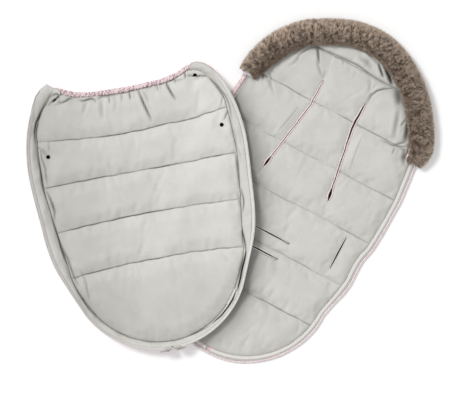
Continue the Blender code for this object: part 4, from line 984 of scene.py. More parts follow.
mat_tape_inset, mat_coil_inset, zip_start = 0.01275, 0.0064, 0.0022
tape_points, coil_points = 300, 1650
across = np.array([-0.0050, -0.0017, 0.0017, 0.0050, 0.0050, 0.0017, -0.0017, -0.0050])
rise = np.array([0.0005, 0.0007, 0.0007, 0.0005, -0.0005, -0.0003, -0.0003, -0.0005])
for word, sign in two_sides:
    half_rim = lambda inset, count: resample(mat_rim(inset)[mat_rim(inset)[:, 0] * sign > zip_start], count)
    tape_path = half_rim(mat_tape_inset, tape_points)
    heights = mat_shell_top(tape_path) + 0.0012
    ripple = (0.0007 * uneven(np.arange(tape_points) / 7, np.full(tape_points, sign), 1.0, 8))[:, None]
    parts = carried(level_path(tape_path + mat_origin, heights), across, rise + ripple + 0.0004)
    line = np.concatenate([np.tile(np.where(np.abs(across) < 0.002, 0.0, 0.12), tape_points), [0.1, 0.1]])
    put(f"mat_tape_ribbon_{word}", parts, tape_look, "mat", (f"mat_zip_tape_{word}",), {"seam": line})
    coil_path = half_rim(mat_coil_inset, coil_points)
    coil_path = level_path(coil_path + mat_origin, mat_shell_top(coil_path) + 0.0015)
    put(f"mat_coil_{word}", carried(coil_path, *coil_profile(coil_points)), coil_look, "mat",
        (f"mat_zip_coil_{word}",))
rim = mat_rim(0.0)
strip_from, strip_to, strip_points = 0.612, 0.712, 60
strip_line = resample(rim[(rim[:, 0] < 0) & (rim[:, 1] > strip_from) & (rim[:, 1] < strip_to)], strip_points)
strip_height = 0.0006 * uneven(np.arange(strip_points) / 5, np.zeros(strip_points), 1.0, 9)
strip_height = mat_shell_top(strip_line) + 0.0068 + strip_height
across = -np.array([0.0004, 0.0040, 0.0080, 0.0116, 0.0116, 0.0080, 0.0040, 0.0004])
rise = np.array([-0.0030, 0.0, 0.0012, -0.0004, -0.0010, 0.0006, -0.0006, -0.0036])
hood_edge = put("hood_edge_cloth", carried(level_path(strip_line + mat_origin, strip_height), across, rise),
    ruffle_look, "mat", ())
print("rim made")

# %% [markdown]
# ## The slits
#
# A harness slit is bound: a strip of the printed cloth is folded round each edge, so that two soft lips
# meet. The crotch and hip slits are only turned in and stitched.
# Inside, the lips run down to the underside and close, and their rings down there take a deep colour as
# painted shade, so a shut slit reads as a dark line.

# %% Bound and turned slits
lip_profile = ((0, -1, 0.02), (0, -0.5, 0.5), (0, 0, 1), (0.18, 0.75, 1), (0.5, 1, 1), (0.82, 0.75, 1), (1, 0, 1),
    (1, -0.6, 1))


def slit(name, node, path, gap, lip, crown, look, shades):
    """Both lips of a slit as one ring of rings, from the bottom of the slit over the lip to its outer edge: half
    width = gap inner + lip reach, height = crown over the lip and 9 mm down inside. Shades paint shade on the
    first rings, down inside the slit."""
    path = path + mat_origin
    side = right_of(path)
    share = np.linspace(0.0, 1.0, len(path))
    ends = quarter(np.minimum(share, 1 - share) * 14)
    rings = []
    for reach, height, inner in lip_profile:
        half = ((gap * inner + lip * reach) * np.maximum(ends, 0.06))[:, None]
        ring = np.concatenate([path + side * half, (path - side * half)[::-1]])
        rise = height * 0.009 if height < 0 else height * crown * np.tile(np.maximum(ends, 0.3), 2)
        place = ring - mat_origin
        rings.append(np.column_stack([ring, np.maximum(lining_height(place, place[:, 1]) + rise, 0.0006)]))
    # Painted shade: the rings down inside the slit take the deep colour of the darkening value.
    inside = np.zeros((len(lip_profile), 2 * len(path)))
    inside[:len(shades)] = np.array(shades)[:, None]
    faces = net_faces(len(lip_profile), 2 * len(path), wrap_columns=True)
    put(name, (np.concatenate(rings), faces), look, "mat", (node,), {"seam": inside}, closed=False)


def flat_slit(name, node, x, y):
    """A slit that is only turned in: narrow lips of the fleece itself."""
    slit(name, node, np.column_stack([np.broadcast_to(x, 60), np.broadcast_to(y, 60)]),
        flat_slit_gap(np.linspace(0, 1, 60)), turned_edge + 0.0006, 0.0008, fleece_look, (1, 1, 1))


for word, sign in two_sides:
    y = np.linspace(*harness_ends, 150)
    path = np.column_stack([sign * np.interp(y, *harness_table.T) + 0.0007 * uneven(y, 0 * y, 0.016, 15), y])
    slit(f"harness_binding_cloth_{word}", f"harness_slit_binding_{word}", path, harness_gap(y, sign),
        harness_lip + 0.0004, 0.0018, binding_look, (1, 1, 0.85, 0.10))
    flat_slit(f"waist_turned_edge_{word}", f"waist_slit_binding_{word}", sign * waist_column,
        np.linspace(*waist_ends, 60))
for word, (slit_y, half) in zip(("lower", "upper"), crotch_slits):
    flat_slit(f"crotch_turned_edge_{word}", f"crotch_slit_binding_{word}", np.linspace(-half, half, 60), slit_y)
print("slits made")

# %% [markdown]
# ## The fur trim
#
# The trim is a sleeve of knitted backing with acrylic pile, stuffed to a soft roll. The pile is modelled as
# many thin three-sided hairs, each bent once: root, middle and tip are three places worked out for all hairs
# at once. Roots are dark, tips are pale, and dark partings run between the clumps. The hood's arch in the
# picture is not a circle, so the roll shifts in and out with the angle.

# %% The fur's backing roll
fur_radius = 0.2475
fur_height = 0.0235
roll_half_width, roll_half_height = 0.0265, 0.0165
fur_middle = np.array([0.0, hood_y + mat_origin[1], fur_height])
fur_start = np.radians(3.0)
fur_shifts = ((3, 0.0020), (12, 0.0045), (18, 0.0), (24, -0.0042), (33, -0.0084), (60, -0.0092), (70, -0.0058),
    (84, -0.0026), (96, -0.0042), (108, -0.0071), (120, -0.0092), (130, -0.0063), (145, -0.0050),
    (160, -0.0058), (172, -0.0030), (177, 0.0))


def fur_frame(angle, turn):
    """Places and outward directions on the backing roll: round the hood by angle, round the roll by turn."""
    share = np.minimum(angle - fur_start, np.pi - fur_start - angle) / np.radians(22.0)
    size = 0.46 + 0.54 * quarter(np.clip(share, 0.0, 1.0))
    out = np.stack([np.cos(angle), np.sin(angle), np.zeros_like(angle)], axis=-1)
    up = np.array([0.0, 0.0, 1.0])
    wide = (roll_half_width * size * np.cos(turn))[..., None]
    tall = (roll_half_height * size * np.sin(turn))[..., None]
    drop = (size - 1)[..., None] * fur_height * up
    shift = through(fur_shifts, np.degrees(angle))[..., None]
    place = fur_middle + out * (fur_radius + shift + wide) + up * tall + drop * 0.75
    normal = out * np.cos(turn)[..., None] * 0.7 + up * np.sin(turn)[..., None]
    return place, unit(normal), out, size


rings, sides = 90, 20
angle = np.linspace(fur_start + 0.02, np.pi - fur_start - 0.045, rings)
roll = fur_frame(*np.meshgrid(angle, around(sides), indexing="ij"))[0]
roll = np.concatenate([roll.reshape(-1, 3), roll[:1].mean(1), roll[-1:].mean(1)])
faces = ring_faces(rings, sides, rings * sides, rings * sides + 1)
backing = put("fur_backing_roll", (roll, faces), backing_look, "mat", ("fur_trim", "fur_trim_filling"))
print("fur backing made")

# %% The pile
hair_count = 19600
hair_length = 0.0112
hair_half_width = 0.00050


def pile(name, low, high, seed):
    """Hairs between two angles round the hood. Each is a root triangle, a middle triangle and a tip: the middle
    lies along the lean, the tip bends further outwards and down."""
    random = np.random.default_rng(seed)
    angle = np.minimum(random.uniform(low, high, hair_count), np.pi - fur_start - 0.032)
    turn = random.uniform(np.radians(-70), np.radians(215), hair_count)
    root, normal, out, size = fur_frame(angle, turn)
    along = np.stack([-np.sin(angle), np.cos(angle), np.zeros(hair_count)], axis=1)
    end = np.clip(1 - np.minimum(angle - fur_start, np.pi - fur_start - angle) / np.radians(9), 0, 1)
    end = (end * np.where(angle < np.pi / 2, -1, 0.55))[:, None]
    clump, clump_b, speck = (uneven(angle * fur_radius, turn * 0.02, size_of, seed + k)
        for k, size_of in ((1, 0.0075), (2, 0.0060), (3, 0.0027)))
    lean = (normal * 0.85 + out * (0.34 + 0.55 * clump)[:, None] + along * (0.75 * clump_b)[:, None] + along * end
        + random.normal(0.0, 0.22, (hair_count, 3)))
    lean = unit(lean)
    length = (hair_length * (0.75 + 0.45 * random.random(hair_count)) * (0.62 + 0.38 * size))[:, None]
    bend = unit(lean + out * 0.25 + np.array([0.0, 0.0, -0.30]))
    middle = root + lean * length * 0.55
    tip = middle + bend * length * 0.45
    tip[:, 2] = np.maximum(tip[:, 2], 0.0012)
    middle[:, 2] = np.maximum(middle[:, 2], 0.0016)
    first = unit(np.cross(lean, along + 0.001))
    second = np.cross(lean, first)
    ring = [first * np.cos(a) + second * np.sin(a) for a in around(3)]
    points = np.stack([root - lean * 0.002 + r * hair_half_width for r in ring]
        + [middle + r * hair_half_width * 0.8 for r in ring] + [tip], axis=1).reshape(-1, 3)
    base = (np.arange(hair_count) * 7)[:, None]
    quads = np.concatenate([base + np.array([[a, b, b + 3, a + 3]]) for a, b in ((0, 1), (1, 2), (2, 0))])
    threes = np.concatenate([base + np.array([corners]) for corners in ((3, 4, 6), (4, 5, 6), (5, 3, 6), (2, 1, 0))])
    # Painted light and shade: hairs on the roll's outer and upper side are made lighter, and those facing the hood
    # darker. The tone also rises near the crown and falls towards the left end.
    outer = 0.32 * np.cos(turn) + 0.10 * np.sin(turn)
    crown = 0.26 * np.exp(-((angle - np.radians(112)) / np.radians(30)) ** 2)
    crown -= 0.16 * smooth((angle - np.radians(145)) / np.radians(20))
    tone = 0.52 + outer + crown + 0.34 * clump + 0.34 * speck + random.normal(0.0, 0.32, hair_count)
    parting = smooth((-0.30 - speck) / 0.25)
    tone = np.clip(np.where(random.random(hair_count) < 0.10, tone - 0.9, tone) - 0.75 * parting, 0.0, 1.0)
    fields = {"along": np.tile([0, 0, 0, 0.55, 0.55, 0.55, 1.0], hair_count), "lock": np.repeat(tone, 7)}
    put(name, (points, [quads, threes]), fur_look, "mat", (), fields)


span = (np.pi - 2 * fur_start) / 3
for index, word in enumerate(("right", "crown", "left")):
    pile(f"fur_pile_{word}", fur_start + index * span, fur_start + (index + 1) * span, 40 + index)
print("fur pile hairs:", 3 * hair_count)

# %% The band that joins the fur to the hood
start = np.arcsin((shoulder_y - hood_y) / hood_radius) + 0.006
a = np.linspace(start, np.pi - start, 260)
band_path = np.stack([0.2219 * np.cos(a), 0.2219 * np.sin(a) + hood_y], axis=1) + mat_origin
across = np.array([-0.0006, 0.0026, 0.0110, 0.0118, 0.0036, 0.0006])
rise = np.array([0.0, 0.0050, 0.0105, 0.0093, 0.0038, 0.0])
put("fur_band_cloth", carried(level_path(band_path, 0.0010), across, rise), binding_look, "mat", ("fur_trim_band",))
print("band made")

# %% [markdown]
# ## The cover's quilted panel
#
# The cover is quilted the same way, but its seams curve: the lower ones dip towards the sides and the top
# one rises. So the rows of its net are not straight lines. They follow a few known curves, one for each
# seam, and lie evenly between them. The panel crosses the fold where its top flap turns back, so the piece
# rides on no body and stays where it is made.

# %% The cover's net
cover_seams = np.array([(0.3256, 0.2997), (0.4891, 0.4755), (0.6444, 0.6444), (0.7861, 0.8147)]) * cover_length
ruffle_room = 0.0118


def top_y(x):
    """The top edge's place along the cover."""
    return through(top_table, np.abs(x))


def top_row(half, inset, count):
    """The top edge moved squarely into the cover, from right to left."""
    x = np.linspace(half, -half, count)
    slope = (top_y(x + 1e-4) - top_y(x - 1e-4)) / 2e-4
    length = np.hypot(1.0, slope)
    return np.stack([x + inset * slope / length, top_y(x) - inset / length], axis=1)


def panel_outline(inset, room):
    """The panel's outline: the crease up to the top corners, and the top edge."""
    side = offset(both_sides(crease_line), inset)
    return np.concatenate([side, top_row(0.163, room, 60)])


def cover_net(step, loop, room):
    """The cover's net: rows lie between the level curves of the foot, the four seams and the top edge."""
    marks = [middle + side * seam_half for middle, _ in cover_seams for side in (-1, 0, 1)]
    crown = top_y(0.0) - room
    rows = net_lines([-0.002, crown, *marks], step)
    columns = net_lines([-0.276, 0.0, 0.276], step)
    share = (columns / cover_half) ** 2
    levels = np.concatenate([[0.0], cover_seams[:, 0], [crown]])
    curves = np.stack([0 * share] + [a + (b - a) * share for a, b in cover_seams] + [top_y(columns) - room])
    k = np.clip(np.searchsorted(levels, rows, side="right") - 1, 0, 4)
    t = ((rows - levels[k]) / (levels[k + 1] - levels[k]))[:, None]
    y = curves[k] * (1 - t) + curves[k + 1] * t
    u, v = np.meshgrid(columns, rows)
    y += waver(u, v, 21)
    places, faces, used, on_border = fitted(u.copy(), y, np.zeros((len(rows) - 1, len(columns) - 1), bool), loop)
    return places, faces, v.ravel()[used], on_border


studs = {word: np.mean(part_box(f"press_stud_{word}"), axis=0)[:2] for word in
    ("lower_left", "lower_right", "upper_left", "upper_right")}
stud_places = np.stack([to_cover(place) for place in studs.values()])


def stud_gap(places):
    """Distance to the nearest press stud."""
    return np.linalg.norm(places[:, None] - stud_places, axis=2).min(1)


def stud_pinch(places):
    """How free the cloths are of the studs that pin them together: 0 at a stud, 1 from 30 mm off it."""
    return smooth((stud_gap(places) - 0.0085) / 0.022)


panel_loop = panel_outline(0.0010, ruffle_room - 0.001)
places, faces, v, edge = cover_net(0.0058, panel_loop, ruffle_room - 0.001)
seam_gap = np.abs(v[:, None] - cover_seams[:, 0]).min(1)
pinch = stud_pinch(places)
pad = pad_room(seam_gap, depth_in(places, panel_loop), 0.0040, 0.0050)
pad = np.where(pad > 0.001, 0.001 + (pad - 0.001) * pinch, pad)
base = drape(places) + 0.0021 + 0.0018 * (1 - pinch)
on_seam = seam_gap < sewn_half
points = np.column_stack([places, base + pad * pressed_pad + 0.0022 - 0.0014 * on_seam])
swollen = blown(points, faces, edge | on_seam | (stud_gap(places) < 0.0095), growth=0.014, cap=0.005)
# Quilting lines: darker along the seams, partly flattened nap and partly painted shade in the groove, weaker towards
# the panel's edge.
pressed_nap_and_shade = np.clip(0.76 + 0.30 * uneven(places[:, 0], v, 0.06, 22) + 0.16 * uneven(places[:, 0], v, 0.008, 23), 0.3, 1.0)
pressed_nap_and_shade *= 0.40 + 0.60 * smooth(depth_in(places, panel_loop) / 0.045)
panel_fields = {"seam": pressed_nap_and_shade * on_seam, "base": base, "gap": seam_gap}
panel_points, panel_faces, panel_fields = refined(swollen, faces, panel_fields)
panel_points[:, 2] -= puckers(panel_points[:, 0] + 3 * panel_fields["base"], panel_fields["gap"], 63)
top_gap = top_y(panel_points[:, 0]) - ruffle_room - panel_points[:, 1]
gathers = np.clip(uneven(panel_points[:, 0], 0 * top_gap, 0.0085, 65) + 0.10, 0.0, 1.0)
gathers *= 0.55 + 0.45 * uneven(panel_points[:, 0], 0 * top_gap, 0.045, 67)
panel_points[:, 2] -= 0.0026 * gathers * np.exp(-(top_gap / 0.024) ** 2)
# Painted light and shade: the panel's colour is made darker towards its left side and its foot and lighter towards its
# right, as if the dished panel were lit from the left.
panel_painted_light = np.interp(panel_points[:, 0], [-0.24, -0.05, 0.10, 0.24], [-0.85, 0.05, 0.20, 0.70])
panel_painted_light -= 0.50 * smooth((0.26 - panel_points[:, 1]) / 0.16)
# Painted shade: a broken dark line along the panel's top edge, under the ruffle's lower border.
shade_under_ruffle = smooth(0.5 + 1.6 * uneven(panel_points[:, 0], 0 * top_gap, 0.016, 66))
panel_fields["seam"] = np.maximum(panel_fields["seam"], 0.85 * shade_under_ruffle * np.exp(-(top_gap / 0.0026) ** 2))
panel_points = from_cover(panel_points)
print("panel points:", len(panel_points), "height", panel_points[:, 2].max().round(4))

# %% Finish the panel
# Most rows press a crease and paint shade along it. The darkest paint near-black shade in the crease between the panel
# and the wall and beside the upper left stud, and the row with no depth and a wide line paints a softer band of shade
# beside that crease.
press_folds(panel_points, panel_fields, """
5.5 4 3 .95 2.2  137.5,87 139,92 144,104 152,121
4.5 3.6 2.4 1 2.2  165,80 168,87 172,94 176,100
3 3.4 1.5 .8 2  129,91 130,95 130.5,100
2.4 3 1.2 .5 1.8  155.5,83 157,87 158.5,91
3 3 1.4 .9 2  184.3,72 185,75 185.5,79
2.4 3 1.2 .5 1.8  173,77 175,81 176,84
1.8 4 1 .2 2.4  142,90 147,96 150,103
2.4 3 1.2 .5 1.8  108,95 109.5,99 110,104
2.4 3 1.2 .45 1.8  121,93 122,97 122,102
2.4 3 1 .5 1.8  48,106 50.6,103.2 53,101
2.4 3 1 .8 2  57,97 59.6,94.9 61.5,93
3.4 3.4 0 3 2.1  246,249 245,257 243.3,264 241.4,271 240.4,277 238.8,283 236.6,290
3 3 0 2.2 1.7  235.6,289.5 232.6,296 229.2,304 224.5,311 216,319
0 3 0 2.8 1.8  51.4,102.3 55.2,99.5 59.2,96.4
0 3 0 .5 3  244,252 243,259 241.3,266 239.8,273 238.6,279 237,285 235,291
3.4 5.5 2 .25 3  102,98 102.3,108 102.7,119
2.4 5 1.2 .15 3  87,101 85.5,107 83.5,114
2 5 1 .12 3  115,94 116,103 115.5,112
4.5 3.6 2.2 .9 2.2  58,103.2 62,102.8 66,101.2 70.5,98.4 74,98
4 3.4 2.2 .95 2.2  79,100.2 83.7,101 87.5,99.8 90.6,98.8 94.3,99.3 96,102.5
3.4 3.4 1.6 .7 2  96.5,99.6 102,96.9 110,95.4 118,94.6
2.6 3.4 1.2 .55 1.8  118,94 128,91.5 139,88.8 150,85.5
2.6 3.4 1.2 .6 1.8  160,82 170,80.5 178,80.5 186,78.5
5 3.2 2.2 .95 2  186,75.5 194,76 202,76 210,75.8
3.4 4 1.8 .55 2.6  209,75.5 212.3,80 217,86 222,93 225.5,99
2.2 3 1 .5 1.6  222.6,97 221.6,102 221.2,107
3.4 3.2 1.5 .7 1.8  229,109 227,113.5 224,120.5
3 3.4 1.4 .5 2  48,100 45.5,104.5 43,109
3.2 3.4 1.8 .65 2  40,148 42,159 45.5,168 46.3,177 48,186
4 3.6 2.8 .85 2.2  46,190 49.5,197 52.5,204 55,212 54.5,221
2.6 3.2 1.2 .45 1.8  38,147 44,153 48,157
2 3 1 .35 1.6  37,148 43,150 48.5,154.5
2 3.2 1 .35 1.8  49,141 49.2,147 49.2,153
3.4 3.6 2 .75 2.2  60,246 63.5,251 68,259 70.5,267 74,276 78.5,286
2.6 4 1.4 .35 2.2  80,270 84,276 86.5,284 88,292 90,303
3.4 3.2 1.4 .85 2.2  234,150 236.3,157 237,162 238,171 239,181 239.5,188
2.6 3.2 1.4 .4 1.8  237,191 238.5,198 240.5,206
2.4 3.6 1.2 .4 2  90,316 100,324 114,332 128,337
""")


def tuck_over(points, word, heading, left_open):
    """Fleece folded over part of a press stud: points within 12 mm of it rise above its top where they lie on
    the near side of a line through it, left open beyond that line."""
    middle, top = studs[word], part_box(f"press_stud_{word}")[1][2]
    gap = points[:, :2] - middle
    off = -gap @ (picture_right * heading[1] + picture_up * heading[0])
    rise = smooth((off - left_open) / 0.0022) * smooth((0.0130 - np.linalg.norm(gap, axis=1)) / 0.0045)
    points[:, 2] += rise * np.maximum(top + 0.0016 - points[:, 2], 0.0)


tuck_over(panel_points, "upper_right", (1.0, 0.0), 0.0022)
tuck_over(panel_points, "upper_left", (0.755, -0.656), -0.0014)
stray(panel_points, 73, [-0.22, 0.05], [0.22, 0.66], (108.5, 148.5), (0.014, 0.034), (0.0003, 0.0008), from_cover)
parts = pad_sheet(panel_points, panel_faces, panel_fields["base"], 0.0012)
panel = put("cover_lining_pad", parts, fleece_look, "fold",
    ("cover_lining", "flap_lining", "cover_wadding", "flap_wadding"),
    {"seam": over_only(panel_fields["seam"]), "nap_tone_and_painted_light": np.tile(panel_painted_light, 2)})
print("panel triangles:", 2 * len(panel.data.polygons))

# %% The cover's shell
places, faces, v, edge = cover_net(0.0085, panel_outline(0.0010, 0.006), 0.006)
level = drape(places) + 0.0006 + 0.0018 * (1 - stud_pinch(places))
top = from_cover(np.column_stack([places, level + 0.0012]))
low = from_cover(np.column_stack([places, level]))
cover_shell = put("cover_shell_cloth", closed_sheet(top, faces, low), shell_look, "fold",
    ("cover_outer_shell", "flap_outer_shell"))
print("cover shell triangles:", 2 * len(cover_shell.data.polygons))

# %% [markdown]
# ## The cover's wall and its zip
#
# The wall stands round the panel and carries the zip. Its foot is sewn in at the crease, and it splays out
# and up to the zip tape. Lying open and unzipped it is slack, so it bulges and ripples. Its two ends at the
# top corners follow places seen in the picture.

# %% Places on the wall
tape_insets = (0.0016, 0.0111)
wall_inset = 0.0117
corner_count = 60
even = arc_points + 103


def whole(line, left, right):
    """A line of the cover from its left corner's end round the foot to its right corner's end. Past its even
    places each end runs on through places seen in the picture."""
    ends = [resample(np.concatenate([[line[even - 1] * [sign, 1]], to_cover(places_in(row))]), corner_count + 1)[1:]
        for sign, row in ((-1, left), (1, right))]
    return np.concatenate([ends[0][::-1], both_sides(line[:even]), ends[1]])


whole_crease = whole(crease_line, "42.2,110.5 45.2,104.8 48,100 51.2,96.2 54.6,94 58,93.6 61,94.6",
    "211.5,79.5 206,74 201,71 196.5,69.8 192.8,69.6 190.2,70.4")
whole_outer = whole(outer_line, "32.8,107 36,96.8 40.3,90.3 47.4,84.5 53.6,88.8 57.4,88.6 60.4,92",
    "215.4,71.8 209.5,67 202.8,63.4 196,62.1 191.4,63.2 188.8,66.8")
corner_run = np.linspace(0, 1, corner_count)
corner_share = np.concatenate([corner_run[::-1], np.zeros(2 * even - 1), corner_run])


def zip_places(line, inset):
    """Places at a distance in from the coil, down the slope of the tape. The coil stands 40 mm high at the foot,
    35 mm along the sides and 29 mm at the top corners, and higher where the cover lies over the mat."""
    away = right_of(line)
    share = (line[:, 1] - outer_end_y) / (cover_length - outer_end_y)
    ease = smooth(share / 0.33)
    slope = np.radians(61.0 - 15.0 * ease)
    height = 0.040 - 0.005 * ease - 0.006 * smooth((line[:, 1] - fold_y) / (cover_length - fold_y))
    height += 0.45 * drape(line) * smooth(share / 0.17) * (1 - smooth((share - 0.30) / 0.25))
    level = inset * np.cos(slope)
    return np.column_stack([line - away * level[:, None], height - inset * np.sin(slope)]), away, slope


high, away, _ = zip_places(whole_outer, wall_inset * (1 - 0.92 * smooth(corner_share / 0.35)))
high[:, 2] -= 0.014 * smooth((corner_share - 0.30) / 0.70)
foot = np.column_stack([whole_crease, drape(whole_crease) + 0.0030 + 0.0040 * smooth(corner_share / 0.5)])
count = len(foot)
rise = high - foot
inward = unit(np.cross(rise, np.gradient(foot, axis=0)))
inward *= np.sign(inward[:, 2:3])
wall_columns = 20
t = np.linspace(0.0, 1.0, wall_columns - 1)[None, :, None]
bulge = np.sin(np.pi * t) ** 0.7
at, over = np.meshgrid(along_of(whole_crease), t[0, :, 0], indexing="ij")
ripples = 0.0022 * uneven(at, over * 0.02, 0.022, 31) + 0.0012 * uneven(at, over * 0.02, 0.009, 32)
ripples += 0.0010 * uneven(at, over * 0.08, 0.060, 33)
swell = (0.0030 + ripples)[..., None] * bulge
wall = foot[:, None] + rise[:, None] * t + inward[:, None] * swell
tuck = foot - np.column_stack([away, np.zeros(count)]) * 0.0040 - np.array([0.0, 0.0, 0.0022])
wall = np.concatenate([tuck[:, None], wall], axis=1)
wall_thick = 0.0022
below = (wall - inward[:, None] * wall_thick).reshape(-1, 3)
# Painted shade in the crease at the wall's foot: the first rows are darkened, fading towards the top corners and along
# a stretch of the right side. The top row is darkened a little.
line = np.zeros((count, wall_columns))
line[:, :3] = (0.6, 0.5, 0.2)
foot_shade_share = 1 - 0.7 * np.exp(-((whole_crease[:, 1] - 0.225) / 0.065) ** 2) * (whole_crease[:, 0] > 0)
line *= ((1 - smooth((corner_share - 0.1) / 0.3)) * foot_shade_share)[:, None]
line[:, -1] = 0.25
wall_fields = {"seam": line.ravel()}
# Painted light: the wall's colour is made lighter on its left side, which faces away from the lamp, and a little darker
# on its right.
wall_painted_light = np.tile(np.interp(whole_crease[:, 0], [-0.2, 0.0, 0.2], [0.45, 0.05, -0.08])[:, None], (1, wall_columns))
below[:, 2] = np.maximum(below[:, 2], 0.0003)
wall = from_cover(wall.reshape(-1, 3))
wall[:, 2] = np.maximum(wall[:, 2], 0.0006)
# Marks of no depth: painted shade along the crease where the wall meets the panel and along the wall's folds,
# near-black where the crease is deepest.
press_folds(wall, wall_fields, """
0 1 0 1 2.6  48,99.5 44.5,105 40,114 36.3,123 34.8,132 35.2,141 36.5,147
0 1 0 .8 2.2  35,143 37,150 38,159 40,168 41.3,177 42.3,186 45,195 49,204 52,213
0 1 0 .9 2.4  51,210 53,222 56,231 59,240 61.3,249 64.5,258 69,267 72.3,276
0 1 0 .85 2.4  71,274 76,285 80,294 85,303 91,311 99,319
0 1 0 .6 2  97,318 112,328 128,336 145,341
0 1 0 .5 1.8  53.3,89.5 50.4,94.7 48.1,98.7 45.8,104.4
0 1 0 .6 2.2  212,79 216.3,84 221,90 225.5,96 229,104 230.5,112 232,121
0 1 0 .35 1.8  230,115 232,125 235,135 236.5,145 239.5,153 241,162
0 1 0 .75 2.2  240.5,187 242,193 243.8,200 243.5,207 242,213
0 1 0 .95 2.4  241,211 241,225 243,234 245,243 246,252 244,260
0 1 0 3 1.9  246,250 245,257 243.3,264 241.6,271 240.6,277 239.2,283 237.4,290
0 1 0 1.6 1.8  236,290 233,299 228.5,306 221.5,315 211,324
0 1 0 .42 3.4  244,252 243,259 241.3,266 239.8,273 238.6,279 237,285 235,291
0 1 0 .8 2.4  213,322 205,328 195,333 180,338 163,341 146,342
0 1 0 .5 1.8  236,303 233,309 229,315 220,324 211,331
""")
parts = closed_sheet(wall, net_faces(count, wall_columns), from_cover(below))
wall_pad = put("cover_wall_fleece", parts, wall_fleece_painted_lighter_look, "fold",
    ("cover_wall_lining", "flap_wall_left_lining", "flap_wall_right_lining"),
    {"seam": np.tile(wall_fields["seam"], 2), "nap_tone_and_painted_light": np.tile(wall_painted_light.ravel(), 2)})

t = np.linspace(0.0, 1.0, 8)[None, :, None]
skin = foot[:, None] + rise[:, None] * t + inward[:, None] * (-0.0030 + 0.0016 * np.sin(np.pi * t))
under = skin - inward[:, None] * 0.0012
skin[..., 2], under[..., 2] = np.maximum(skin[..., 2], 0.0008), np.maximum(under[..., 2], 0.0002)
wall_shell = put("cover_wall_cloth", closed_net(skin, under), shell_look, "fold",
    ("cover_wall_shell", "flap_wall_left_shell", "flap_wall_right_shell"))
print("wall points:", count)

# %% The zip tape and the coil round the cover
tape_end_share = {-1: 0.50, 1: 0.34}
tape_columns = np.array([0.0, 0.10, 0.26, 0.36, 0.46, 0.60, 0.80, 1.0])
tape_lines = np.array([0.30, 0.02, 0.0, 0.32, 0.0, 0.0, 0.05, 0.16])
tape_points, coil_points, coil_skip = 420, 1900, 8
tape_half = 0.00045
t = tape_columns[None, :, None]
for word, sign in two_sides:
    line = whole_outer[(whole_outer[:, 0] * sign > 0.0030) & (corner_share < tape_end_share[sign])]
    line = resample(line, tape_points)
    inner, away, slope = zip_places(line, tape_insets[1])
    outer = zip_places(line, tape_insets[0])[0]
    ribbon = inner[:, None] + (outer - inner)[:, None] * t
    tilt = np.column_stack([-away * np.sin(slope)[:, None], np.cos(slope)])
    wave = 0.0006 * uneven(np.arange(tape_points) / 6, np.full(tape_points, sign * 3.0), 1.0, 41)
    ribbon = ribbon + (tilt * wave[:, None])[:, None] * t
    thick = tilt[:, None] * tape_half
    parts = closed_net(ribbon + thick, ribbon - thick)
    put(f"cover_tape_ribbon_{word}", parts, tape_look, "fold", (f"cover_zip_tape_{word}", f"flap_zip_tape_{word}"),
        {"seam": np.tile(tape_lines, 2 * tape_points)})
    path = zip_places(resample(line[coil_skip:] if sign > 0 else line[:-coil_skip], coil_points), 0.0)[0]
    put(f"cover_coil_{word}", carried(from_cover(path), *coil_profile(coil_points)), coil_look, "fold",
        (f"cover_zip_coil_{word}", f"flap_zip_coil_{word}"))
print("cover zips made")

# %% [markdown]
# ## The ruffle
#
# The top edge is bound in the printed cloth with elastic inside, so it gathers into close uneven folds.
# The ruffle is a flattened tube whose radius rises and falls with the folds; its deep places are painted
# dark red as their shade, with finer dark flecks.

# %% The gathered top edge
count, sides = 760, 28
path = resample(top_row(top_table[-1][0], 0.0056, 400), count)
along = np.linspace(0.0, along_of(path)[-1], count)
s, turn = np.meshgrid(along, around(sides), indexing="ij")
slant = s + 0.0022 * np.cos(turn) + 0.0030 * uneven(s, turn * 0.004, 0.014, 51)
pitch = 0.0105
phase = 2 * np.pi * slant / pitch + 3.4 * uneven(slant, turn * 0 + 0.3, 0.023, 52)
strength = 0.66 + 0.34 * uneven(slant, turn * 0.006, 0.013, 53)
folds = strength * (0.5 + 0.5 * np.cos(phase)) ** 1.5
swell = 0.76 + 0.36 * (1 - folds) + 0.16 * uneven(s, turn * 0.005, 0.020, 54)
# Painted shade in the valleys of the gathers, with finer dark flecks, strongest on the tube's outer half.
gather_shade = np.clip(folds - 0.45, 0.0, 1.0) * 2.4 * (0.60 + 0.40 * uneven(s, turn * 0.008, 0.006, 55))
gather_shade = np.maximum(gather_shade, 0.75 * np.clip(uneven(s + 0.004 * turn, turn * 0.005, 0.0042, 56) - 0.35, 0, 1) * 2)
gather_shade *= 0.35 + 0.65 * smooth(0.5 + 0.7 * np.cos(turn))
centre = np.column_stack([path, drape(path) + 0.0062])
tube = carried(from_cover(centre), 0.0060 * np.cos(turn) * swell, 0.0052 * np.sin(turn) * swell)
tube[0][:, 2] = np.maximum(tube[0][:, 2], 0.0004)
ruffle = put("top_ruffle_cloth", tube, ruffle_look, "flap", ("flap_ruffle", "flap_elastic"),
    {"seam": np.concatenate([np.clip(gather_shade, 0, 0.9).ravel(), [0.3, 0.3]])})
print("ruffle points:", count * sides)

# %% [markdown]
# ## Press studs, care label and stitches
#
# A press stud is turned in profile: a dished socket with a raised ring. The label is a doubled strip of
# satin sewn into the crease. Quilting stitches are short grey threads, each a small pointed bead 2.7 mm
# long, laid along every seam.

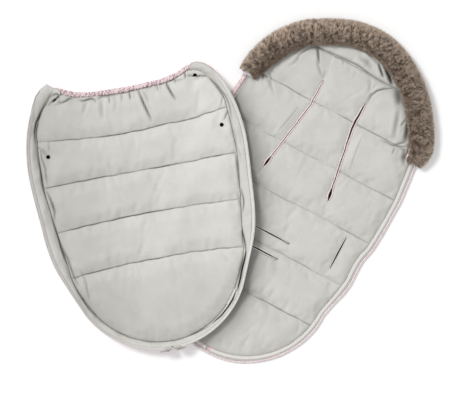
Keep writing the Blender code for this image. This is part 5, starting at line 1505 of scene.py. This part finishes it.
# %% Press studs
def turned(profile, sides):
    """A profile of (radius, height) pairs turned once round a standing line; the ends close at a pole."""
    profile, a = np.array(profile), around(sides)
    ring = np.stack([profile[:, :1] * np.cos(a), profile[:, :1] * np.sin(a), np.repeat(profile[:, 1:], sides, 1)], 2)
    points = np.concatenate([ring.reshape(-1, 3), [[0, 0, profile[0, 1]], [0, 0, profile[-1, 1]]]])
    count = len(profile) * sides
    return points, ring_faces(len(profile), sides, count, count + 1)


socket = [(0.0008, 0.0), (0.0050, 0.0), (0.0052, 0.0006), (0.0050, 0.0013), (0.0045, 0.0020), (0.0039, 0.0022),
    (0.0033, 0.0020), (0.0029, 0.0013), (0.0025, 0.0009), (0.0016, 0.0008), (0.0012, 0.0012), (0.0005, 0.0013)]
for word, place in studs.items():
    body = "cover" if word.startswith("lower") else "flap"
    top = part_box(f"press_stud_{word}")[1][2]
    points, faces = turned(socket, 40)
    made = put(f"stud_socket_{word}", (points + [*place, top - 0.0022], faces), stud_look, body,
        (f"press_stud_{word}",))
    cap_low, cap_high = np.array(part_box(f"press_stud_cap_{word}"))[:, 2]
    cap = [(0.0004, 0.0), (0.0042, 0.0), (0.0050, 0.0005), (0.0051, cap_high - cap_low), (0.0004, cap_high - cap_low)]
    points, faces = turned(cap, 32)
    put(f"stud_cap_{word}", (points + [*place, cap_low], faces), stud_look, body, (f"press_stud_cap_{word}",))
print("studs:", list(studs))

# %% Care label
angle = np.radians(np.linspace(47.0, 59.0, 24))
circle = lambda radius: np.stack([radius * np.sin(angle), cover_foot_radius - radius * np.cos(angle)], axis=1)
start = np.column_stack([circle(0.2160), drape(circle(0.2160)) + 0.0060])
lean = np.column_stack([circle(0.2160) - circle(0.2130), np.full(24, 0.0050)]) / 0.0058
t = np.linspace(0.0, 0.0105, 6)[None, :, None]
label = start[:, None] + lean[:, None] * t
label[..., 2] += 0.0008 * np.sin(np.arange(24) * 0.9)[:, None] * t[..., 0] / 0.0105
back = unit(np.cross(lean, np.gradient(start, axis=0)))
put("care_label_ribbon", closed_net(label, label + back[:, None] * 0.0005), label_look, "cover",
    ("care_label",))
print("label made")

# %% Stitches
stitch_pitch, stitch_long, stitch_sunk, bead_sides = 0.0036, 0.0027, 0.0002, 5
bead_rings, a = np.array([(-0.3, 0.75), (0.0, 1.0), (0.3, 0.75)]), around(bead_sides)
bead = np.stack([np.repeat(bead_rings[:, :1], bead_sides, 1), bead_rings[:, 1:] * np.cos(a),
    bead_rings[:, 1:] * np.sin(a)], 2)
bead = np.concatenate([bead.reshape(-1, 3), [[-0.5, 0, 0], [0.5, 0, 0]]])
bead_faces = ring_faces(3, bead_sides, len(bead) - 2, len(bead) - 1)


def stitched(path, surface, thick, seed):
    """Pointed beads along a path on a surface's points: each takes the height of the surface point nearest to it. Tight
    and slack thread comes and goes every 30 mm, so the beads are 0.4 to 1.3 times as thick as given."""
    total = along_of(path)[-1]
    count = max(int(total / stitch_pitch), 2)
    at = resample(path, count)
    run = unit(np.gradient(at, axis=0))
    close = surface[nearest(surface[:, :2], path)[0] < 0.005]
    parts = np.array_split(np.arange(count), max(count // 200, 1))
    index = np.concatenate([((at[part][:, None] - close[None, :, :2]) ** 2).sum(2).argmin(1) for part in parts])
    height = close[index, 2]
    slope = np.gradient(height) / stitch_pitch
    at_seam = np.arange(count) * stitch_pitch
    thick = thick * (0.85 + 0.45 * uneven(at_seam, 0 * at_seam, 0.030, seed))
    axes = np.zeros((count, 3, 3))
    axes[:, 0] = np.column_stack([run, slope]) * stitch_long
    axes[:, 1] = np.column_stack([-run[:, 1], run[:, 0], np.zeros(count)]) * thick[:, None]
    axes[:, 2, 2] = thick
    points = np.einsum("vk,nkc->nvc", bead, axes) + np.column_stack([at, height - stitch_sunk])[:, None]
    step = (np.arange(count) * len(bead))[:, None, None]
    return points.reshape(-1, 3), [(group[None] + step).reshape(-1, group.shape[1]) for group in bead_faces]


def sewn(name, paths, surface, body, look, thick):
    """One piece of stitches along several paths."""
    points, faces, first = [], [], 0
    for seed, path in enumerate(paths):
        made, groups = stitched(path, surface, thick, 80 + seed)
        points.append(made)
        faces += [group + first for group in groups]
        first += len(made)
    put(name, (np.concatenate(points), faces), look, body, ())


mat_seam_paths = []
for y in mat_seams:
    half = mat_half(y) - lining_inset if y < shoulder_y else np.sqrt(hood_radius ** 2 - (y - hood_y) ** 2)
    x = np.linspace(-half + 0.012, half - 0.012, 60)
    mat_seam_paths.append(np.column_stack([x, y + waver(x, 0 * x + y, 11)]) + mat_origin)
mat_seam_paths += [places_in(row) for row in ("297.5,107.5 288.3,119.7 277,132.5", "361.5,137 354.5,155 349,171")]
sewn("mat_quilting_stitches", mat_seam_paths, lining_surface, "mat", thread_look, 0.00050)
cover_seam_paths = []
for middle, edge in cover_seams:
    half = through(crease_table, middle) - 0.010
    x = np.linspace(-half, half, 90)
    y = middle + (edge - middle) * (x / cover_half) ** 2 + waver(x, 0 * x + middle, 21)
    cover_seam_paths.append(from_cover(np.column_stack([x, y])))
sewn("cover_quilting_stitches", cover_seam_paths, panel_points, "fold", dark_thread_look, 0.00075)
print("stitches made")

# %% [markdown]
# ## Hardware that keeps its solid shape
#
# The zip sliders, pulls, pins and boxes already have their real shapes in the solid model, so they only get
# their grey lacquer.

# %% Lacquer on the solid model's hardware
for name, node in frame["nodes"].items():
    if name.startswith(("zip_slider", "zip_pull", "zip_box", "mat_zip_pin")):
        for place in node.material_slots:
            place.material = metal_look
print("hardware finished")

# %% [markdown]
# ## Floor and light
#
# The picture is a catalogue picture on white. The floor is white and gives off a little light that only the
# camera sees, directly, reflected or refracted, so that it reads as white without lighting the object; the
# object's soft shadow stays on it.
# One broad lamp gives the folds their shape and the sky fills the shadows.

# %% Stage and lamps
floor_half, floor_glow, sky_strength = 6.0, 0.20, 0.55
corners = floor_half * np.array([[-1, -1, 0], [1, -1, 0], [1, 1, 0], [-1, 1, 0]]) - [0, 0, 0.0004]
look = bpy.data.materials.new("white studio floor")
look.use_nodes = True
shader = look.node_tree.nodes["Principled BSDF"]
for socket, value in (("Base Color", ink("F4F4F4")), ("Roughness", 1.0), ("Specular IOR Level", 0.0)):
    shader.inputs[socket].default_value = value
ray = add(look, "LightPath").outputs
seen = add(look, "Math", {0: ray["Is Camera Ray"], 1: ray["Is Glossy Ray"]}, operation="MAXIMUM")
seen = add(look, "Math", {0: seen.outputs[0], 1: ray["Is Transmission Ray"]}, operation="MAXIMUM")
strength = add(look, "Math", {0: seen.outputs[0], 1: floor_glow}, operation="MULTIPLY")
glow = add(look, "Emission", {"Color": (1.0, 1.0, 1.0, 1.0), "Strength": strength.outputs[0]})
both = add(look, "AddShader", {0: shader.outputs[0], 1: glow.outputs[0]})
look.node_tree.links.new(both.outputs[0], look.node_tree.nodes["Material Output"].inputs["Surface"])
floor = shown("floor", corners, np.array([[0, 1, 2, 3]]))
floor.data.materials.append(look)
world = bpy.data.worlds.new("soft sky")
world.use_nodes = True
bpy.context.scene.world = world
background = world.node_tree.nodes["Background"]
background.inputs["Color"].default_value = (1.0, 1.0, 1.0, 1.0)
seen = add(world, "LightPath").outputs["Is Camera Ray"]
strength = add(world, "MapRange", {0: seen, 3: sky_strength, 4: 1.0})
world.node_tree.links.new(strength.outputs[0], background.inputs["Strength"])
lamp = bpy.data.lights.new("broad lamp", "SUN")
lamp.energy = 1.60
lamp.angle = np.radians(16.0)
lamp_object = bpy.data.objects.new("broad lamp", lamp)
toward = np.append(-0.85 * picture_right + 0.62 * picture_up, 1.35)
lamp_object.rotation_euler = (np.arccos(toward[2] / np.linalg.norm(toward)), 0.0,
    np.arctan2(toward[1], toward[0]) + np.pi / 2)
bpy.context.scene.collection.objects.link(lamp_object)
bpy.context.scene.view_settings.view_transform = "Standard"
print("lamps made")
